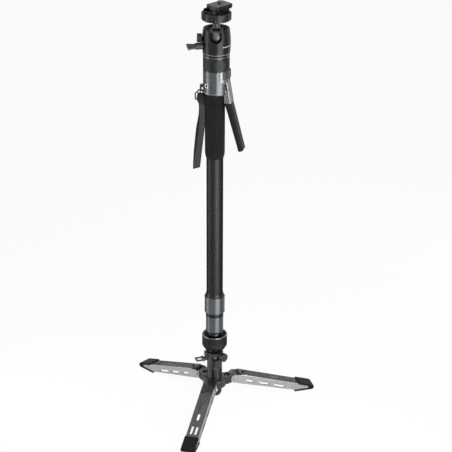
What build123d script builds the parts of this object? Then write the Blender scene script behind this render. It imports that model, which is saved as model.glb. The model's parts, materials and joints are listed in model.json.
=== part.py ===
from build123d import *
from math import asin, cos, degrees, radians, sin, sqrt
import os

# A camera monopod with a ball head on top, a squeeze lever on the handle and a
# three-legged pivoting base. It is drawn collapsed, with the legs spread.
# Millimetres. +Z is up, the tube's axis is x = y = 0, and the feet stand on z = 0.
# The squeeze lever is on the +X side and the strap on the -X side.

os.makedirs("parts", exist_ok=True)

# Clearances shared by all pieces
overrun = 1.0
running_fit = 0.05
piece_gap = 0.3

# Spread legs
leg_azimuths = (30.0, 150.0, 270.0)
pivot_radius = 39.8
pivot_height = 48.5
leg_length = 162.5
leg_end_sink = 2.255
leg_width = 26.0
leg_wall = 2.0
leg_top_height = 11.7
leg_root_radius = 8.5
leg_shoulder = 13.5
leg_heel_depth = 3.5
leg_toe_height = 3.2
leg_web_start = 24.7
leg_bevel = 1.2
leg_window_height = 4.6
leg_window_centre = 0.0
leg_window_start_shares = (0.127, 0.306, 0.507)
leg_window_length_shares = (0.129, 0.161, 0.177)
leg_window_lead = 7.5
leg_window_tail = 3.2
leg_slot_start_shares = (0.327, 0.480)
leg_slot_length_share = 0.105
leg_slot_width = 5.2
leg_slot_sink = 1.2
leg_pair_start_share = 0.68
leg_pair_length_share = 0.126
leg_pair_width = 4.2
leg_pair_spacing = 9.0
pin_radius = 2.5
pin_head_radius = 4.2
pin_head_thickness = 1.2

# Rubber feet
boot_length = 40.8
boot_width = 28.0
boot_rise = 2.3
boot_cover_length = 24.0
boot_side_lap = 1.5
boot_end_lap = 2.0
boot_nose = 9.0
boot_nose_height = 7.5
boot_toe_radius = 3.0

# Leg latches
latch_length = 15.0
latch_start = 6.3
latch_depth = 9.5
latch_rise = 0.9
latch_side_gap = 0.35
latch_button_radius = 3.2
latch_button_height = 2.9
latch_button_taper = 3.0

# Hub under the pivot block
arm_width = 21.0
arm_end_radius = 5.5
arm_root_depth = 10.5
hub_radius = 23.5
hub_floor = 2.0
hub_shoulder = 1.8
hub_column_radius = 15.2
hub_column_height = 26.0
hub_groove_count = 6
hub_groove_width = 4.0
hub_groove_depth = 2.2
arm_recess_radius = 6.2
arm_recess_depth = 2.6
arm_recess_place = 25.5

# Bolt that holds the base, and its hanging ring
bolt_head_radius = 9.0
bolt_head_height = 3.0
bolt_lug_half_width = 6.4
bolt_lug_thickness = 7.0
bolt_lug_height = 6.5
bolt_shank_radius = 4.76
bolt_length = 24.0
ring_outer_radius = 14.5
ring_inner_radius = 6.9
ring_thickness = 4.2
ring_arc_drop = 5.6
ring_pin_radius = 1.4
ring_bevel = 0.9

# Swivel block with the tilt ball
spigot_radius = 8.0
spigot_length = 14.0
swivel_gap = 0.6
swivel_height = 32.4
swivel_waist_radius = 15.0
swivel_top_radius = 17.2
swivel_taper_start = 14.0
swivel_lug_radius = 20.6
swivel_lug_width = 11.0
swivel_lug_height = 13.0
swivel_lug_slope_share = 0.7
swivel_window_width = 14.0
swivel_window_height = 10.0
swivel_window_azimuth = -70.0
ball_stop_gap = 0.25
tilt_ball_radius = 11.0
tilt_ball_drop = 13.5
tilt_stem_radius = 6.5
tilt_mouth_radius = 11.0

# Tilt knob and foot pedal on the swivel block
knob_azimuth = 330.0
knob_radius = 8.5
knob_length = 8.0
knob_shaft_radius = 2.5
knob_shaft_length = 5.0
knob_rib_count = 18
knob_rib_depth = 0.7
knob_rib_width = 1.3
pedal_azimuth = 210.0
pedal_reach = 18.5
pedal_width = 15.0
pedal_thickness = 2.2
pedal_drop = 15.0
pedal_rim = 3.6
pedal_pin_radius = 1.5
pedal_ear_gap = 0.4
pedal_hub_radius = 3.0
pedal_clevis_width = 7.0

# Foot of the column and its lock ring
foot_gap = 4.5
foot_flange_radius = 18.0
foot_flange_top_radius = 21.7
foot_spigot_radius = 4.5
foot_flange_height = 6.0
foot_hub_radius = 13.6
foot_hub_height = 36.2
cup_radius = 24.7
cup_wall = 2.6
cup_floor = 4.0
cup_height = 28.5
cup_taper_radius = 21.9
cup_taper_height = 4.6
cup_lip = 1.4

# Telescoping tubes
upper_tube_radius = 16.0
middle_tube_radius = 13.2
lower_tube_radius = 10.8
upper_wall = 1.6
middle_wall = 1.5
lower_wall = 1.5
lower_collar_radius = 17.35
lower_collar_height = 33.5
lower_band_height = 8.4
upper_collar_radius = 19.95
upper_collar_height = 34.5
upper_band_radius = 19.0
upper_band_height = 7.5
collar_bevel = 1.0
tube_seat = 3.5
bush_length = 41.0
guide_length = 60.0
guide_cap = 5.0
tube_above_collar = 469.5
nest_step = 5.0
nest_drop = 27.0

# Foam grip
grip_radius = 18.9
grip_length = 130.0
grip_taper_length = 9.0
grip_taper_radius = 17.2

# Handle housing, centred a little towards the lever
head_offset = 2.6
housing_radius = 23.75
housing_height = 46.0
housing_socket = 12.0
housing_bevel = 1.0
chamber_radius = 15.0
chamber_roof = 11.0
cover_thickness = 1.0
side_cover_centres = (-123.0, 123.0)
side_cover_span = 112.0
side_cover_margin = 1.5
side_cover_corner = 3.5
side_cover_border = 2.6
side_cover_recess = 0.4
socket_azimuth = -124.5
socket_height = 17.0
socket_hole_radius = 2.7
socket_pad_radius = 4.4
socket_pad_thickness = 4.2
socket_pad_sink = 3.6
socket_pin_radius = 1.4
socket_pin_spacing = 7.2
single_hole_azimuth = -101.4
single_hole_height = 16.4
single_hole_radius = 1.6
single_hole_depth = 4.0

# Squeeze lever
lever_pivot_x = 17.0
lever_pivot_drop = 17.0
lever_pin_radius = 2.0
lever_ear_radius = 4.6
lever_half_width = 12.0
lever_wall = 2.5
lever_web = 3.4
lever_lug_width = 3.6
lever_tongue_half_width = 5.0
lever_finger_reach = 3.7
lever_finger_thickness = 2.7
lever_finger_drop = 2.0
lever_pocket_gap = 0.5
lever_pocket_face = 17.3
lever_slot_face = 14.5
lever_tongue_face = 18.9
lever_ear_share = 0.12
lever_edge_drops = (5.0, 45.5, 66.0, 130.7)
lever_inner_places = (18.5, 20.8, 27.2, 45.8)
lever_outer_places = (26.6, 33.6, 38.9, 55.3)
lever_tip_drop = 141.4
lever_tip_rise = 3.6
lever_tip_lean = 2.4
lever_tip_radius = 3.8
lever_frame_round = 2.5
lever_core_thickness = 2.0
lever_core_inset = 1.2
lever_core_share = 0.8
lever_grip_web = 5.0
lever_grip_round = 5.0
lever_window_shares = ((0.42, 0.08), (0.70, 0.08), (0.74, 0.5), (0.62, 0.56))
lever_slit_shares = ((0.12, 0.3), (0.28, 0.26), (0.48, 0.62), (0.42, 0.68))

# Cover over the lever's pivot, with the safety slider
cover_span = 119.0
cover_height = 21.5
cover_rise = 2.2
cover_corner = 5.0
cover_floor_rise = 0.9
cover_border = 2.6
slider_half_width = 18.0
slider_height = 14.0
slider_rise = 1.9
slider_rib_count = 3
slider_rib_width = 1.2
slider_rib_depth = 0.6
slider_margin = 1.5
slider_groove_share = 0.8

# Release rod
rod_radius = 3.0
rod_flange_radius = 7.0
rod_flange_thickness = 2.0
rod_length = 440.0
rod_shoulder_radius = 6.0
rod_shoulder_height = 1.6
rod_spring_length = 9.4
rod_spring_radius = 4.6
rod_spring_wire = 0.45
rod_spring_turns = 5
plug_length = 10.0

# Strap and what holds it
lug_reach = 7.0
lug_width = 8.0
lug_height = 15.0
lug_arm = 5.0
lug_plate = 2.0
lug_hole_radius = 1.9
lug_drop = 2.0
clip_wire_radius = 1.4
clip_inside_gap = 1.0
clip_top_half = 2.9
clip_shoulder = 8.0
clip_height = 19.0
clip_corner = 1.6
strap_width = 13.4
strap_place = 35.4
strap_thickness = 1.6
strap_gap = 3.4
strap_length = 145.0
strap_lean = 3.4

# Pan base and its bolt
pan_base_radius = 24.75
pan_base_height = 25.0
pan_spigot_radius = 14.0
pan_spigot_height = 6.0
head_bolt_radius = 4.76
head_bolt_head_radius = 7.5
head_bolt_head_height = 3.0
head_bolt_reach = 20.0

# Ball housing, turned about the head's axis
head_turn = 13.0
pan_gap = 0.3
housing_foot_radius = 24.75
ball_housing_height = 52.7
ball_housing_belly_radius = 26.5
ball_housing_belly_height = 25.0
ball_housing_rim_radius = 24.2
ball_housing_rim_wall = 3.2
ball_housing_chamfer = 1.2
ball_radius = 18.2
ball_height = 36.7
ball_gap = 0.3
ball_lip_height = 8.2
housing_web = 4.0
neck_radius = 6.5
notch_width = 21.0
notch_drop = 7.1
seat_height = 17.0
seat_bore = 8.0

# Ball lock lever and friction knob on the ball housing
wing_turn = 16.0
wing_axis_height = 20.5
wing_shaft_radius = 3.0
wing_hub_radius = 6.4
wing_hub_length = 13.0
wing_blade_length = 15.0
wing_roll = -12.0
wing_blade_root = 12.0
wing_blade_tip = 18.0
wing_blade_thickness = 5.5
wing_blade_corner = 2.4
wing_sink = 3.0
friction_axis_height = 33.4
friction_knob_radius = 8.2
friction_knob_length = 9.0
friction_shaft_radius = 2.5
friction_rib_count = 18

# Clamp, plate and camera screw
clamp_turn = 57.0
clamp_ring_radius = 27.6
clamp_ring_height = 15.0
clamp_ring_rib_count = 24
clamp_ring_rib_width = 2.0
clamp_ring_rib_depth = 1.1
clamp_ring_bevel = 1.4
clamp_core_radius = 17.0
clamp_lift = 13.6
clamp_spigot_radius = 5.0
clamp_spigot_length = 10.0
clamp_body_length = 40.0
clamp_body_width = 30.0
clamp_body_height = 6.4
clamp_corner = 3.5
clamp_floor = 2.4
clamp_jaw_width = 7.0
dovetail_lean = 1.8
dovetail_depth = 3.2
plate_length = 40.0
plate_shift = 7.5
plate_width = 30.0
plate_height = 6.6
plate_corner = 3.5
plate_foot_width = 19.0
plate_groove = 0.8
camera_screw_radius = 3.175
camera_screw_length = 6.1
camera_screw_neck_radius = 2.4
camera_screw_relief = 0.6
camera_screw_head_radius = 6.0
camera_screw_head_height = 2.4
camera_screw_sink = 0.4
camera_screw_slot = 1.2
camera_screw_bevel = 0.5
camera_pin_radius = 1.9
camera_pin_height = 3.6
camera_pin_travel = 3.0
camera_pin_place = 13.0
camera_pin_sink = 1.5
clamp_side_recess_radius = 2.4


def upright(azimuth, centre_x=0.0):
    """The vertical plane through an axis: local x runs outward, local y up."""
    angle = radians(azimuth)
    return Plane(
        origin=(centre_x, 0, 0),
        x_dir=(cos(angle), sin(angle), 0),
        z_dir=(sin(angle), -cos(angle), 0),
    )


def facing(azimuth, radius, height, centre_x=0.0):
    """The plane whose normal points outward at an azimuth: local x is level."""
    angle = radians(azimuth)
    return Plane(
        origin=(centre_x + radius * cos(angle), radius * sin(angle), height),
        x_dir=(-sin(angle), cos(angle), 0),
        z_dir=(cos(angle), sin(angle), 0),
    )


def turned(name, outline, centre_x=0.0):
    """A ring or a bush: an outline of (radius, height) points turned about its axis."""
    with BuildPart() as piece:
        with BuildSketch(upright(0, centre_x)):
            with BuildLine():
                Polyline(*outline, close=True)
            make_face()
        revolve(axis=Axis((centre_x, 0, 0), (0, 0, 1)))
    piece.part.label = name
    return piece.part


def sleeve(name, bottom, top, outside, inside, centre_x=0.0):
    """A plain tube."""
    return turned(
        name,
        [(inside, bottom), (outside, bottom), (outside, top), (inside, top)],
        centre_x,
    )


def save(part, name):
    part.label = name
    export_step(part, f"parts/{name}.step")


# The legs' slope and the heights that follow from the sizes above
leg_slope = degrees(asin((pivot_height + leg_end_sink) / leg_length))
arm_top = pivot_height + arm_end_radius
arm_bottom = pivot_height - arm_root_depth
hub_bottom = arm_bottom - hub_floor
hub_top = arm_top + hub_column_height
swivel_bottom = hub_top + swivel_gap
swivel_top = swivel_bottom + swivel_height
tilt_centre = swivel_top - tilt_ball_drop
foot_bottom = swivel_top + foot_gap
foot_top = foot_bottom + foot_hub_height + foot_flange_height
lower_collar_bottom = foot_top + piece_gap
lower_collar_top = lower_collar_bottom + lower_collar_height
lower_band_top = lower_collar_top + lower_band_height
upper_collar_bottom = lower_band_top + piece_gap
upper_collar_top = upper_collar_bottom + upper_collar_height
upper_band_top = upper_collar_top + upper_band_height
upper_tube_bottom = upper_collar_bottom + tube_seat
upper_tube_top = upper_collar_bottom + tube_above_collar
middle_tube_bottom = lower_collar_bottom + tube_seat
middle_tube_top = upper_tube_top - nest_drop
lower_tube_bottom = foot_bottom + foot_flange_height / 2
lower_tube_top = middle_tube_top - nest_step - guide_cap
housing_bottom = upper_tube_top - housing_socket
housing_top = housing_bottom + housing_height
grip_top = housing_bottom
grip_bottom = grip_top - grip_length
pan_base_top = housing_top + pan_base_height
head_bottom = pan_base_top + pan_gap
head_top = head_bottom + ball_housing_height
ball_centre = head_bottom + ball_height
clamp_bottom = ball_centre + ball_radius + clamp_lift
clamp_body_bottom = clamp_bottom + clamp_ring_height
plate_bottom = clamp_body_bottom + clamp_body_height - dovetail_depth
plate_top = clamp_body_bottom + clamp_body_height + plate_height
lever_pivot_height = housing_top - lever_pivot_drop


def leg_point(along, above):
    """A place on a spread leg: along it from the pivot pin, and above that line."""
    slope = radians(leg_slope)
    return (
        pivot_radius + along * cos(slope) + above * sin(slope),
        pivot_height - along * sin(slope) + above * cos(slope),
    )


def leg_outline(side):
    """The side of a leg: round at the pivot, tapered, and cut level above the floor."""
    root = leg_root_radius
    heel_along = (
        pivot_height - leg_toe_height - leg_heel_depth * cos(radians(leg_slope))
    ) / sin(radians(leg_slope))
    toe_above = (
        leg_toe_height - pivot_height + leg_length * sin(radians(leg_slope))
    ) / cos(radians(leg_slope))
    with BuildSketch(side) as outline:
        with BuildLine():
            Polyline(
                leg_point(0, root),
                leg_point(leg_shoulder, leg_top_height),
                leg_point(leg_length, leg_top_height),
                leg_point(leg_length, toe_above),
                leg_point(heel_along, -leg_heel_depth),
                leg_point(0, -root),
            )
            ThreePointArc(leg_point(0, -root), leg_point(-root, 0), leg_point(0, root))
        make_face()
    return outline.sketch


def along_leg_top(azimuth):
    """The plane of a leg's top face, with its origin over the pivot pin."""
    angle = radians(azimuth)
    slope = radians(leg_slope)
    radius, height = leg_point(0, leg_top_height)
    return Plane(
        origin=(radius * cos(angle), radius * sin(angle), height),
        x_dir=(cos(angle) * cos(slope), sin(angle) * cos(slope), -sin(slope)),
        z_dir=(cos(angle) * sin(slope), sin(angle) * sin(slope), cos(slope)),
    )


boot_end = leg_point(leg_length, leg_top_height)[0] + boot_nose
boot_start = boot_end - boot_length

# Legs: folded U channels, open below, with windows in their sides, and on top a sunk
# slot and three open ones
leg_inner_half = leg_width / 2 - leg_wall
for number, azimuth in enumerate(leg_azimuths, start=1):
    side = upright(azimuth)
    top = along_leg_top(azimuth)
    with BuildPart() as leg:
        extrude(leg_outline(side), amount=leg_width / 2, both=True)
        fillet(
            leg.edges().filter_by(
                lambda edge: edge.length > leg_length / 2
                and edge.center().Z > pivot_height - leg_length * sin(radians(leg_slope)) / 2
            ),
            leg_bevel,
        )
        with BuildSketch(side):
            with BuildLine():
                Polyline(
                    leg_point(-leg_root_radius - overrun, leg_top_height + overrun),
                    leg_point(leg_web_start, leg_top_height + overrun),
                    leg_point(leg_web_start, leg_top_height - leg_wall),
                    leg_point(leg_length + overrun, leg_top_height - leg_wall),
                    leg_point(leg_length + overrun, -leg_length),
                    leg_point(-leg_root_radius - overrun, -leg_length),
                    close=True,
                )
            make_face()
        extrude(amount=leg_inner_half, both=True, mode=Mode.SUBTRACT)
        with BuildSketch(side):
            for start_share, length_share in zip(
                leg_window_start_shares, leg_window_length_shares
            ):
                start = start_share * leg_length
                length = length_share * leg_length
                with BuildLine():
                    Polyline(
                        leg_point(start, leg_window_centre + leg_window_height / 2),
                        leg_point(start + length, leg_window_centre + leg_window_height / 2),
                        leg_point(
                            start + length - leg_window_tail,
                            leg_window_centre - leg_window_height / 2,
                        ),
                        leg_point(
                            start + leg_window_lead,
                            leg_window_centre - leg_window_height / 2,
                        ),
                        close=True,
                    )
                make_face()
        extrude(amount=leg_width, both=True, mode=Mode.SUBTRACT)
        for start_share, depth in zip(leg_slot_start_shares, (leg_slot_sink, leg_wall + overrun)):
            with BuildSketch(top):
                with Locations(((start_share + leg_slot_length_share / 2) * leg_length, 0)):
                    SlotOverall(leg_slot_length_share * leg_length, leg_slot_width)
            extrude(amount=-depth, mode=Mode.SUBTRACT)
        with BuildSketch(top):
            for offset_side in (-1, 1):
                with Locations(
                    (
                        (leg_pair_start_share + leg_pair_length_share / 2) * leg_length,
                        offset_side * leg_pair_spacing / 2,
                    )
                ):
                    SlotOverall(leg_pair_length_share * leg_length, leg_pair_width)
        extrude(amount=-leg_wall - overrun, mode=Mode.SUBTRACT)
        with BuildSketch(side):
            with Locations((pivot_radius, pivot_height)):
                Circle(pin_radius + running_fit)
        extrude(amount=leg_width, both=True, mode=Mode.SUBTRACT)
    save(leg.part, f"leg_{number}")

    # A rubber boot: a pad below, a nose in front and a cover along the leg's top
    with BuildPart() as boot:
        cover_height_above = leg_top_height + boot_rise
        lap_height_above = leg_top_height - boot_side_lap
        with BuildSketch(side):
            with BuildLine():
                Polyline(
                    (boot_start, 0),
                    (boot_end - boot_toe_radius, 0),
                    (boot_end, boot_toe_radius),
                    (boot_end, boot_nose_height),
                    leg_point(leg_length + boot_rise, cover_height_above),
                    leg_point(leg_length - boot_cover_length, cover_height_above),
                    close=True,
                )
            make_face()
        extrude(amount=boot_width / 2, both=True)
        fillet(
            boot.edges().filter_by(
                lambda edge: edge.length > boot_cover_length
                and edge.center().Z > boot_nose_height
                and abs(
                    -sin(radians(azimuth)) * edge.center().X
                    + cos(radians(azimuth)) * edge.center().Y
                )
                > leg_width / 2
            ),
            leg_bevel,
        )
        extrude(leg_outline(side), amount=leg_width / 2, both=True, mode=Mode.SUBTRACT)
        with BuildSketch(side):
            with BuildLine():
                Polyline(
                    leg_point(leg_length / 2, lap_height_above),
                    leg_point(leg_length - boot_end_lap, lap_height_above),
                    (
                        leg_point(leg_length - boot_end_lap, lap_height_above)[0],
                        leg_toe_height,
                    ),
                    (boot_start - overrun, leg_toe_height),
                    close=True,
                )
            make_face()
        extrude(amount=boot_width, both=True, mode=Mode.SUBTRACT)
    save(boot.part, f"boot_{number}")

    # The latch slides out along the leg's root and springs back
    with BuildPart() as latch:
        latch_top = leg_top_height + latch_rise
        with BuildSketch(side):
            with BuildLine():
                Polyline(
                    leg_point(latch_start, latch_top - latch_depth),
                    leg_point(latch_start, latch_top - latch_depth / 2),
                    leg_point(latch_start + latch_rise, latch_top),
                    leg_point(latch_start + latch_length - latch_rise, latch_top),
                    leg_point(latch_start + latch_length, latch_top - latch_rise),
                    leg_point(latch_start + latch_length, latch_top - latch_depth),
                    close=True,
                )
            make_face()
        extrude(amount=leg_inner_half - latch_side_gap, both=True)
        with BuildSketch(top.offset(latch_rise)):
            with Locations((latch_start + latch_length - latch_button_radius - latch_rise, 0)):
                Circle(latch_button_radius)
        extrude(amount=latch_button_height, taper=latch_button_taper)
    save(latch.part, f"leg_latch_{number}")


# Hub: a cast plate with three arms and a fluted column
with BuildPart() as leg_hub:
    with BuildSketch(Plane.XY.offset(hub_bottom)):
        Circle(hub_radius)
    extrude(amount=arm_top - hub_shoulder - hub_bottom)
    fillet(leg_hub.edges().filter_by(GeomType.CIRCLE), hub_shoulder)
    with BuildSketch(Plane.XY.offset(hub_bottom + hub_floor)):
        Circle(hub_column_radius)
    extrude(amount=hub_top - hub_bottom - hub_floor)
    chamfer(leg_hub.edges().group_by(Axis.Z)[-1], hub_shoulder / 2)
    with BuildSketch(Plane.XY.offset(arm_top)):
        with PolarLocations(hub_column_radius, hub_groove_count, start_angle=leg_azimuths[0]):
            Rectangle(2 * hub_groove_depth, hub_groove_width)
    extrude(amount=hub_column_height - hub_shoulder - hub_groove_depth, mode=Mode.SUBTRACT)
    for azimuth in leg_azimuths:
        with BuildSketch(upright(azimuth)):
            with BuildLine():
                Polyline(
                    (pivot_radius, pivot_height - arm_end_radius),
                    (hub_radius + hub_floor, arm_bottom),
                    (0, arm_bottom),
                    (0, arm_top),
                    (pivot_radius, arm_top),
                )
                ThreePointArc(
                    (pivot_radius, arm_top),
                    (pivot_radius + arm_end_radius, pivot_height),
                    (pivot_radius, pivot_height - arm_end_radius),
                )
            make_face()
        extrude(amount=arm_width / 2, both=True)
        with BuildSketch(upright(azimuth)):
            with Locations((pivot_radius, pivot_height)):
                Circle(pin_radius)
        extrude(amount=arm_width, both=True, mode=Mode.SUBTRACT)
    with BuildSketch(Plane.XY.offset(arm_top)):
        with PolarLocations(arm_recess_place, len(leg_azimuths), start_angle=leg_azimuths[0]):
            Circle(arm_recess_radius)
    extrude(amount=-arm_recess_depth, mode=Mode.SUBTRACT)
    with BuildSketch(Plane.XY.offset(hub_top)):
        Circle(spigot_radius + running_fit)
    extrude(amount=-spigot_length - swivel_gap, mode=Mode.SUBTRACT)
    with BuildSketch(Plane.XY.offset(hub_bottom)):
        Circle(bolt_shank_radius)
    extrude(amount=bolt_length, mode=Mode.SUBTRACT)
save(leg_hub.part, "leg_hub")

# Three pivot pins, headed on both sides of each leg
with BuildPart() as leg_pins:
    for azimuth in leg_azimuths:
        with BuildSketch(upright(azimuth)):
            with Locations((pivot_radius, pivot_height)):
                Circle(pin_radius)
        extrude(amount=leg_width / 2 + piece_gap, both=True)
        for offset_side in (-1, 1):
            with BuildSketch(upright(azimuth).offset(offset_side * (leg_width / 2 + piece_gap))):
                with Locations((pivot_radius, pivot_height)):
                    Circle(pin_head_radius)
            extrude(amount=offset_side * pin_head_thickness)
save(leg_pins.part, "leg_pivot_pins")

# Base bolt: its head hangs under the hub, with a lug for the ring
ring_half_thickness = ring_thickness / 2
bolt_head_bottom = hub_bottom - bolt_head_height
ring_axis_height = bolt_head_bottom - sqrt(2) * ring_half_thickness - piece_gap
with BuildPart() as base_bolt:
    with BuildSketch(Plane.XY.offset(hub_bottom)):
        Circle(bolt_head_radius)
    extrude(amount=-bolt_head_height)
    with BuildSketch(Plane.XY.offset(bolt_head_bottom)):
        Rectangle(2 * bolt_lug_half_width, bolt_lug_thickness)
    extrude(amount=-bolt_lug_height)
    chamfer(base_bolt.edges().group_by(Axis.Z)[0], ring_bevel)
    with BuildSketch(Plane.XY.offset(hub_bottom)):
        Circle(bolt_shank_radius)
    extrude(amount=bolt_length)
    with BuildSketch(Plane.YZ):
        with Locations((0, ring_axis_height)):
            Circle(ring_pin_radius + running_fit)
    extrude(amount=bolt_head_radius, both=True, mode=Mode.SUBTRACT)
save(base_bolt.part, "base_bolt")

# Hanging ring: a thick flat loop on a pin through the bolt's lug
ring_arc_height = ring_axis_height - ring_arc_drop
with BuildPart() as hanging_ring:
    with BuildSketch(Plane.XZ):
        with Locations((0, ring_arc_height)):
            Circle(ring_outer_radius)
        with Locations((0, (ring_arc_height + ring_axis_height) / 2)):
            Rectangle(2 * ring_outer_radius, ring_arc_drop)
        with Locations((0, ring_axis_height + ring_outer_radius / 2)):
            Rectangle(2 * ring_outer_radius, ring_outer_radius, mode=Mode.SUBTRACT)
        with Locations((0, ring_arc_height)):
            Circle(ring_inner_radius, mode=Mode.SUBTRACT)
        with Locations((0, (ring_arc_height + ring_axis_height) / 2 + ring_half_thickness)):
            Rectangle(
                2 * ring_inner_radius, ring_arc_drop + ring_thickness, mode=Mode.SUBTRACT
            )
    extrude(amount=ring_half_thickness, both=True)
    fillet(
        hanging_ring.edges().filter_by(
            lambda edge: abs(edge.center().Y) > ring_half_thickness / 2
            and edge.center().Z < ring_axis_height - ring_bevel / 2
        ),
        ring_bevel,
    )
    ear_width = ring_outer_radius - ring_inner_radius
    for ring_side in (-1, 1):
        with BuildSketch(Plane.YZ.offset(ring_side * ring_inner_radius)):
            with Locations((0, ring_axis_height)):
                Circle(ring_half_thickness)
        extrude(amount=ring_side * ear_width)
    with BuildSketch(Plane.YZ):
        with Locations((0, ring_axis_height)):
            Circle(ring_pin_radius)
    extrude(amount=ring_inner_radius + ring_half_thickness, both=True)
save(hanging_ring.part, "hanging_ring")

# Swivel block: a tapered body with three lugs and a window on its ball
lug_azimuths = (knob_azimuth, pedal_azimuth, (knob_azimuth + pedal_azimuth) / 2 - 180.0)
pedal_pin_radius_out = swivel_lug_radius + pedal_hub_radius + piece_gap
pedal_height = swivel_top - pedal_drop
with BuildPart() as swivel:
    with BuildSketch(upright(0)):
        with BuildLine():
            Polyline(
                (0, swivel_bottom),
                (swivel_waist_radius, swivel_bottom),
                (swivel_waist_radius, swivel_bottom + swivel_taper_start),
                (swivel_top_radius, swivel_top - swivel_lug_height),
                (swivel_top_radius, swivel_top),
                (0, swivel_top),
                close=True,
            )
        make_face()
    revolve(axis=Axis.Z)
    for azimuth in lug_azimuths:
        with BuildSketch(upright(azimuth)):
            with BuildLine():
                Polyline(
                    (0, swivel_top - swivel_lug_height),
                    (swivel_top_radius, swivel_top - swivel_lug_height),
                    (swivel_lug_radius, swivel_top - swivel_lug_slope_share * swivel_lug_height),
                    (swivel_lug_radius, swivel_top),
                    (0, swivel_top),
                    close=True,
                )
            make_face()
        extrude(amount=swivel_lug_width / 2, both=True)
    with BuildSketch(Plane.XY.offset(swivel_bottom)):
        Circle(spigot_radius)
    extrude(amount=-spigot_length)
    # Clevis for the pedal, under its lug
    with BuildSketch(upright(pedal_azimuth)):
        with BuildLine():
            Polyline(
                (0, pedal_height - pedal_hub_radius),
                (pedal_pin_radius_out, pedal_height - pedal_hub_radius),
                (pedal_pin_radius_out, pedal_height + pedal_hub_radius),
                (0, pedal_height + pedal_hub_radius),
                close=True,
            )
        make_face()
        with Locations((pedal_pin_radius_out, pedal_height)):
            Circle(pedal_hub_radius)
    extrude(amount=pedal_clevis_width / 2, both=True)
    with BuildSketch(upright(pedal_azimuth)):
        with Locations((pedal_pin_radius_out, pedal_height)):
            Circle(pedal_pin_radius)
    extrude(amount=pedal_clevis_width, both=True, mode=Mode.SUBTRACT)
    # Cavity for the ball, with a flared mouth for its stem
    with Locations((0, 0, tilt_centre)):
        Sphere(tilt_ball_radius + ball_stop_gap, mode=Mode.SUBTRACT)
    with BuildSketch(upright(0)):
        with BuildLine():
            Polyline(
                (0, tilt_centre),
                (tilt_mouth_radius / 2, tilt_centre),
                (tilt_mouth_radius, swivel_top + overrun),
                (0, swivel_top + overrun),
                close=True,
            )
        make_face()
    revolve(axis=Axis.Z, mode=Mode.SUBTRACT)
    with BuildSketch(facing(swivel_window_azimuth, 0, tilt_centre + swivel_window_height / 5)):
        RectangleRounded(swivel_window_width, swivel_window_height, swivel_window_height / 4)
    extrude(amount=swivel_lug_radius, mode=Mode.SUBTRACT)
    with BuildSketch(facing(knob_azimuth, 0, swivel_top - swivel_lug_height / 2)):
        Circle(knob_shaft_radius + running_fit)
    extrude(amount=swivel_lug_radius + overrun, mode=Mode.SUBTRACT)
save(swivel.part, "swivel_block")

# Tilt knob on its threaded shaft
with BuildPart() as tilt_knob:
    knob_height = swivel_top - swivel_lug_height / 2
    with BuildSketch(facing(knob_azimuth, swivel_lug_radius + piece_gap, knob_height)):
        Circle(knob_radius)
    extrude(amount=knob_length)
    chamfer(tilt_knob.edges(), knob_rib_depth)
    with BuildSketch(facing(knob_azimuth, swivel_lug_radius + piece_gap, knob_height)):
        with PolarLocations(knob_radius, knob_rib_count):
            Rectangle(2 * knob_rib_depth, knob_rib_width)
    extrude(amount=knob_length, mode=Mode.SUBTRACT)
    with BuildSketch(facing(knob_azimuth, swivel_lug_radius + piece_gap, knob_height)):
        Circle(knob_shaft_radius)
    extrude(amount=-knob_shaft_length)
save(tilt_knob.part, "tilt_knob")

# Foot pedal: a bent loop that turns on a pin under the block
with BuildPart() as pedal:
    pedal_start = pedal_pin_radius_out - pedal_hub_radius
    with BuildSketch(upright(pedal_azimuth)):
        with Locations((pedal_pin_radius_out, pedal_height)):
            Circle(pedal_hub_radius)
        with BuildLine():
            Polyline(
                (pedal_pin_radius_out, pedal_height - pedal_thickness / 2),
                (pedal_start + pedal_reach, pedal_height - pedal_thickness / 2),
                (pedal_start + pedal_reach, pedal_height + pedal_thickness / 2),
                (pedal_pin_radius_out, pedal_height + pedal_thickness / 2),
                close=True,
            )
        make_face()
    extrude(amount=pedal_width / 2, both=True)
    with BuildSketch(upright(pedal_azimuth)):
        with Locations((pedal_pin_radius_out, pedal_height)):
            Circle(pedal_pin_radius + running_fit)
    extrude(amount=pedal_width, both=True, mode=Mode.SUBTRACT)
    with BuildSketch(facing(pedal_azimuth, 0, pedal_height)):
        Rectangle(pedal_clevis_width + 2 * pedal_ear_gap, 4 * pedal_hub_radius)
    extrude(amount=pedal_start + pedal_reach - pedal_rim, mode=Mode.SUBTRACT)
save(pedal.part, "foot_pedal")

with BuildPart() as pedal_pin:
    with BuildSketch(upright(pedal_azimuth)):
        with Locations((pedal_pin_radius_out, pedal_height)):
            Circle(pedal_pin_radius)
    extrude(amount=pedal_width / 2, both=True)
save(pedal_pin.part, "pedal_pin")

# Tilt ball: it stands on its stem, which screws into the column's foot
with BuildPart() as tilt_ball:
    with Locations((0, 0, tilt_centre)):
        Sphere(tilt_ball_radius)
    with BuildSketch(Plane.XY.offset(tilt_centre)):
        Circle(tilt_stem_radius)
    extrude(amount=foot_bottom - tilt_centre)
    with BuildSketch(Plane.XY.offset(foot_bottom)):
        Circle(foot_spigot_radius)
    extrude(amount=foot_flange_height)
save(tilt_ball.part, "tilt_ball")

# Column foot: a flared flange and the socket of the lower tube
foot_flange_top = foot_bottom + foot_flange_height
save(
    turned(
        "column_foot",
        [
            (foot_spigot_radius, foot_bottom),
            (foot_flange_radius, foot_bottom),
            (foot_flange_top_radius, foot_flange_top),
            (foot_hub_radius, foot_flange_top),
            (foot_hub_radius, foot_top),
            (lower_tube_radius, foot_top),
            (lower_tube_radius, lower_tube_bottom),
            (foot_spigot_radius, lower_tube_bottom),
        ],
    ),
    "column_foot",
)

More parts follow.
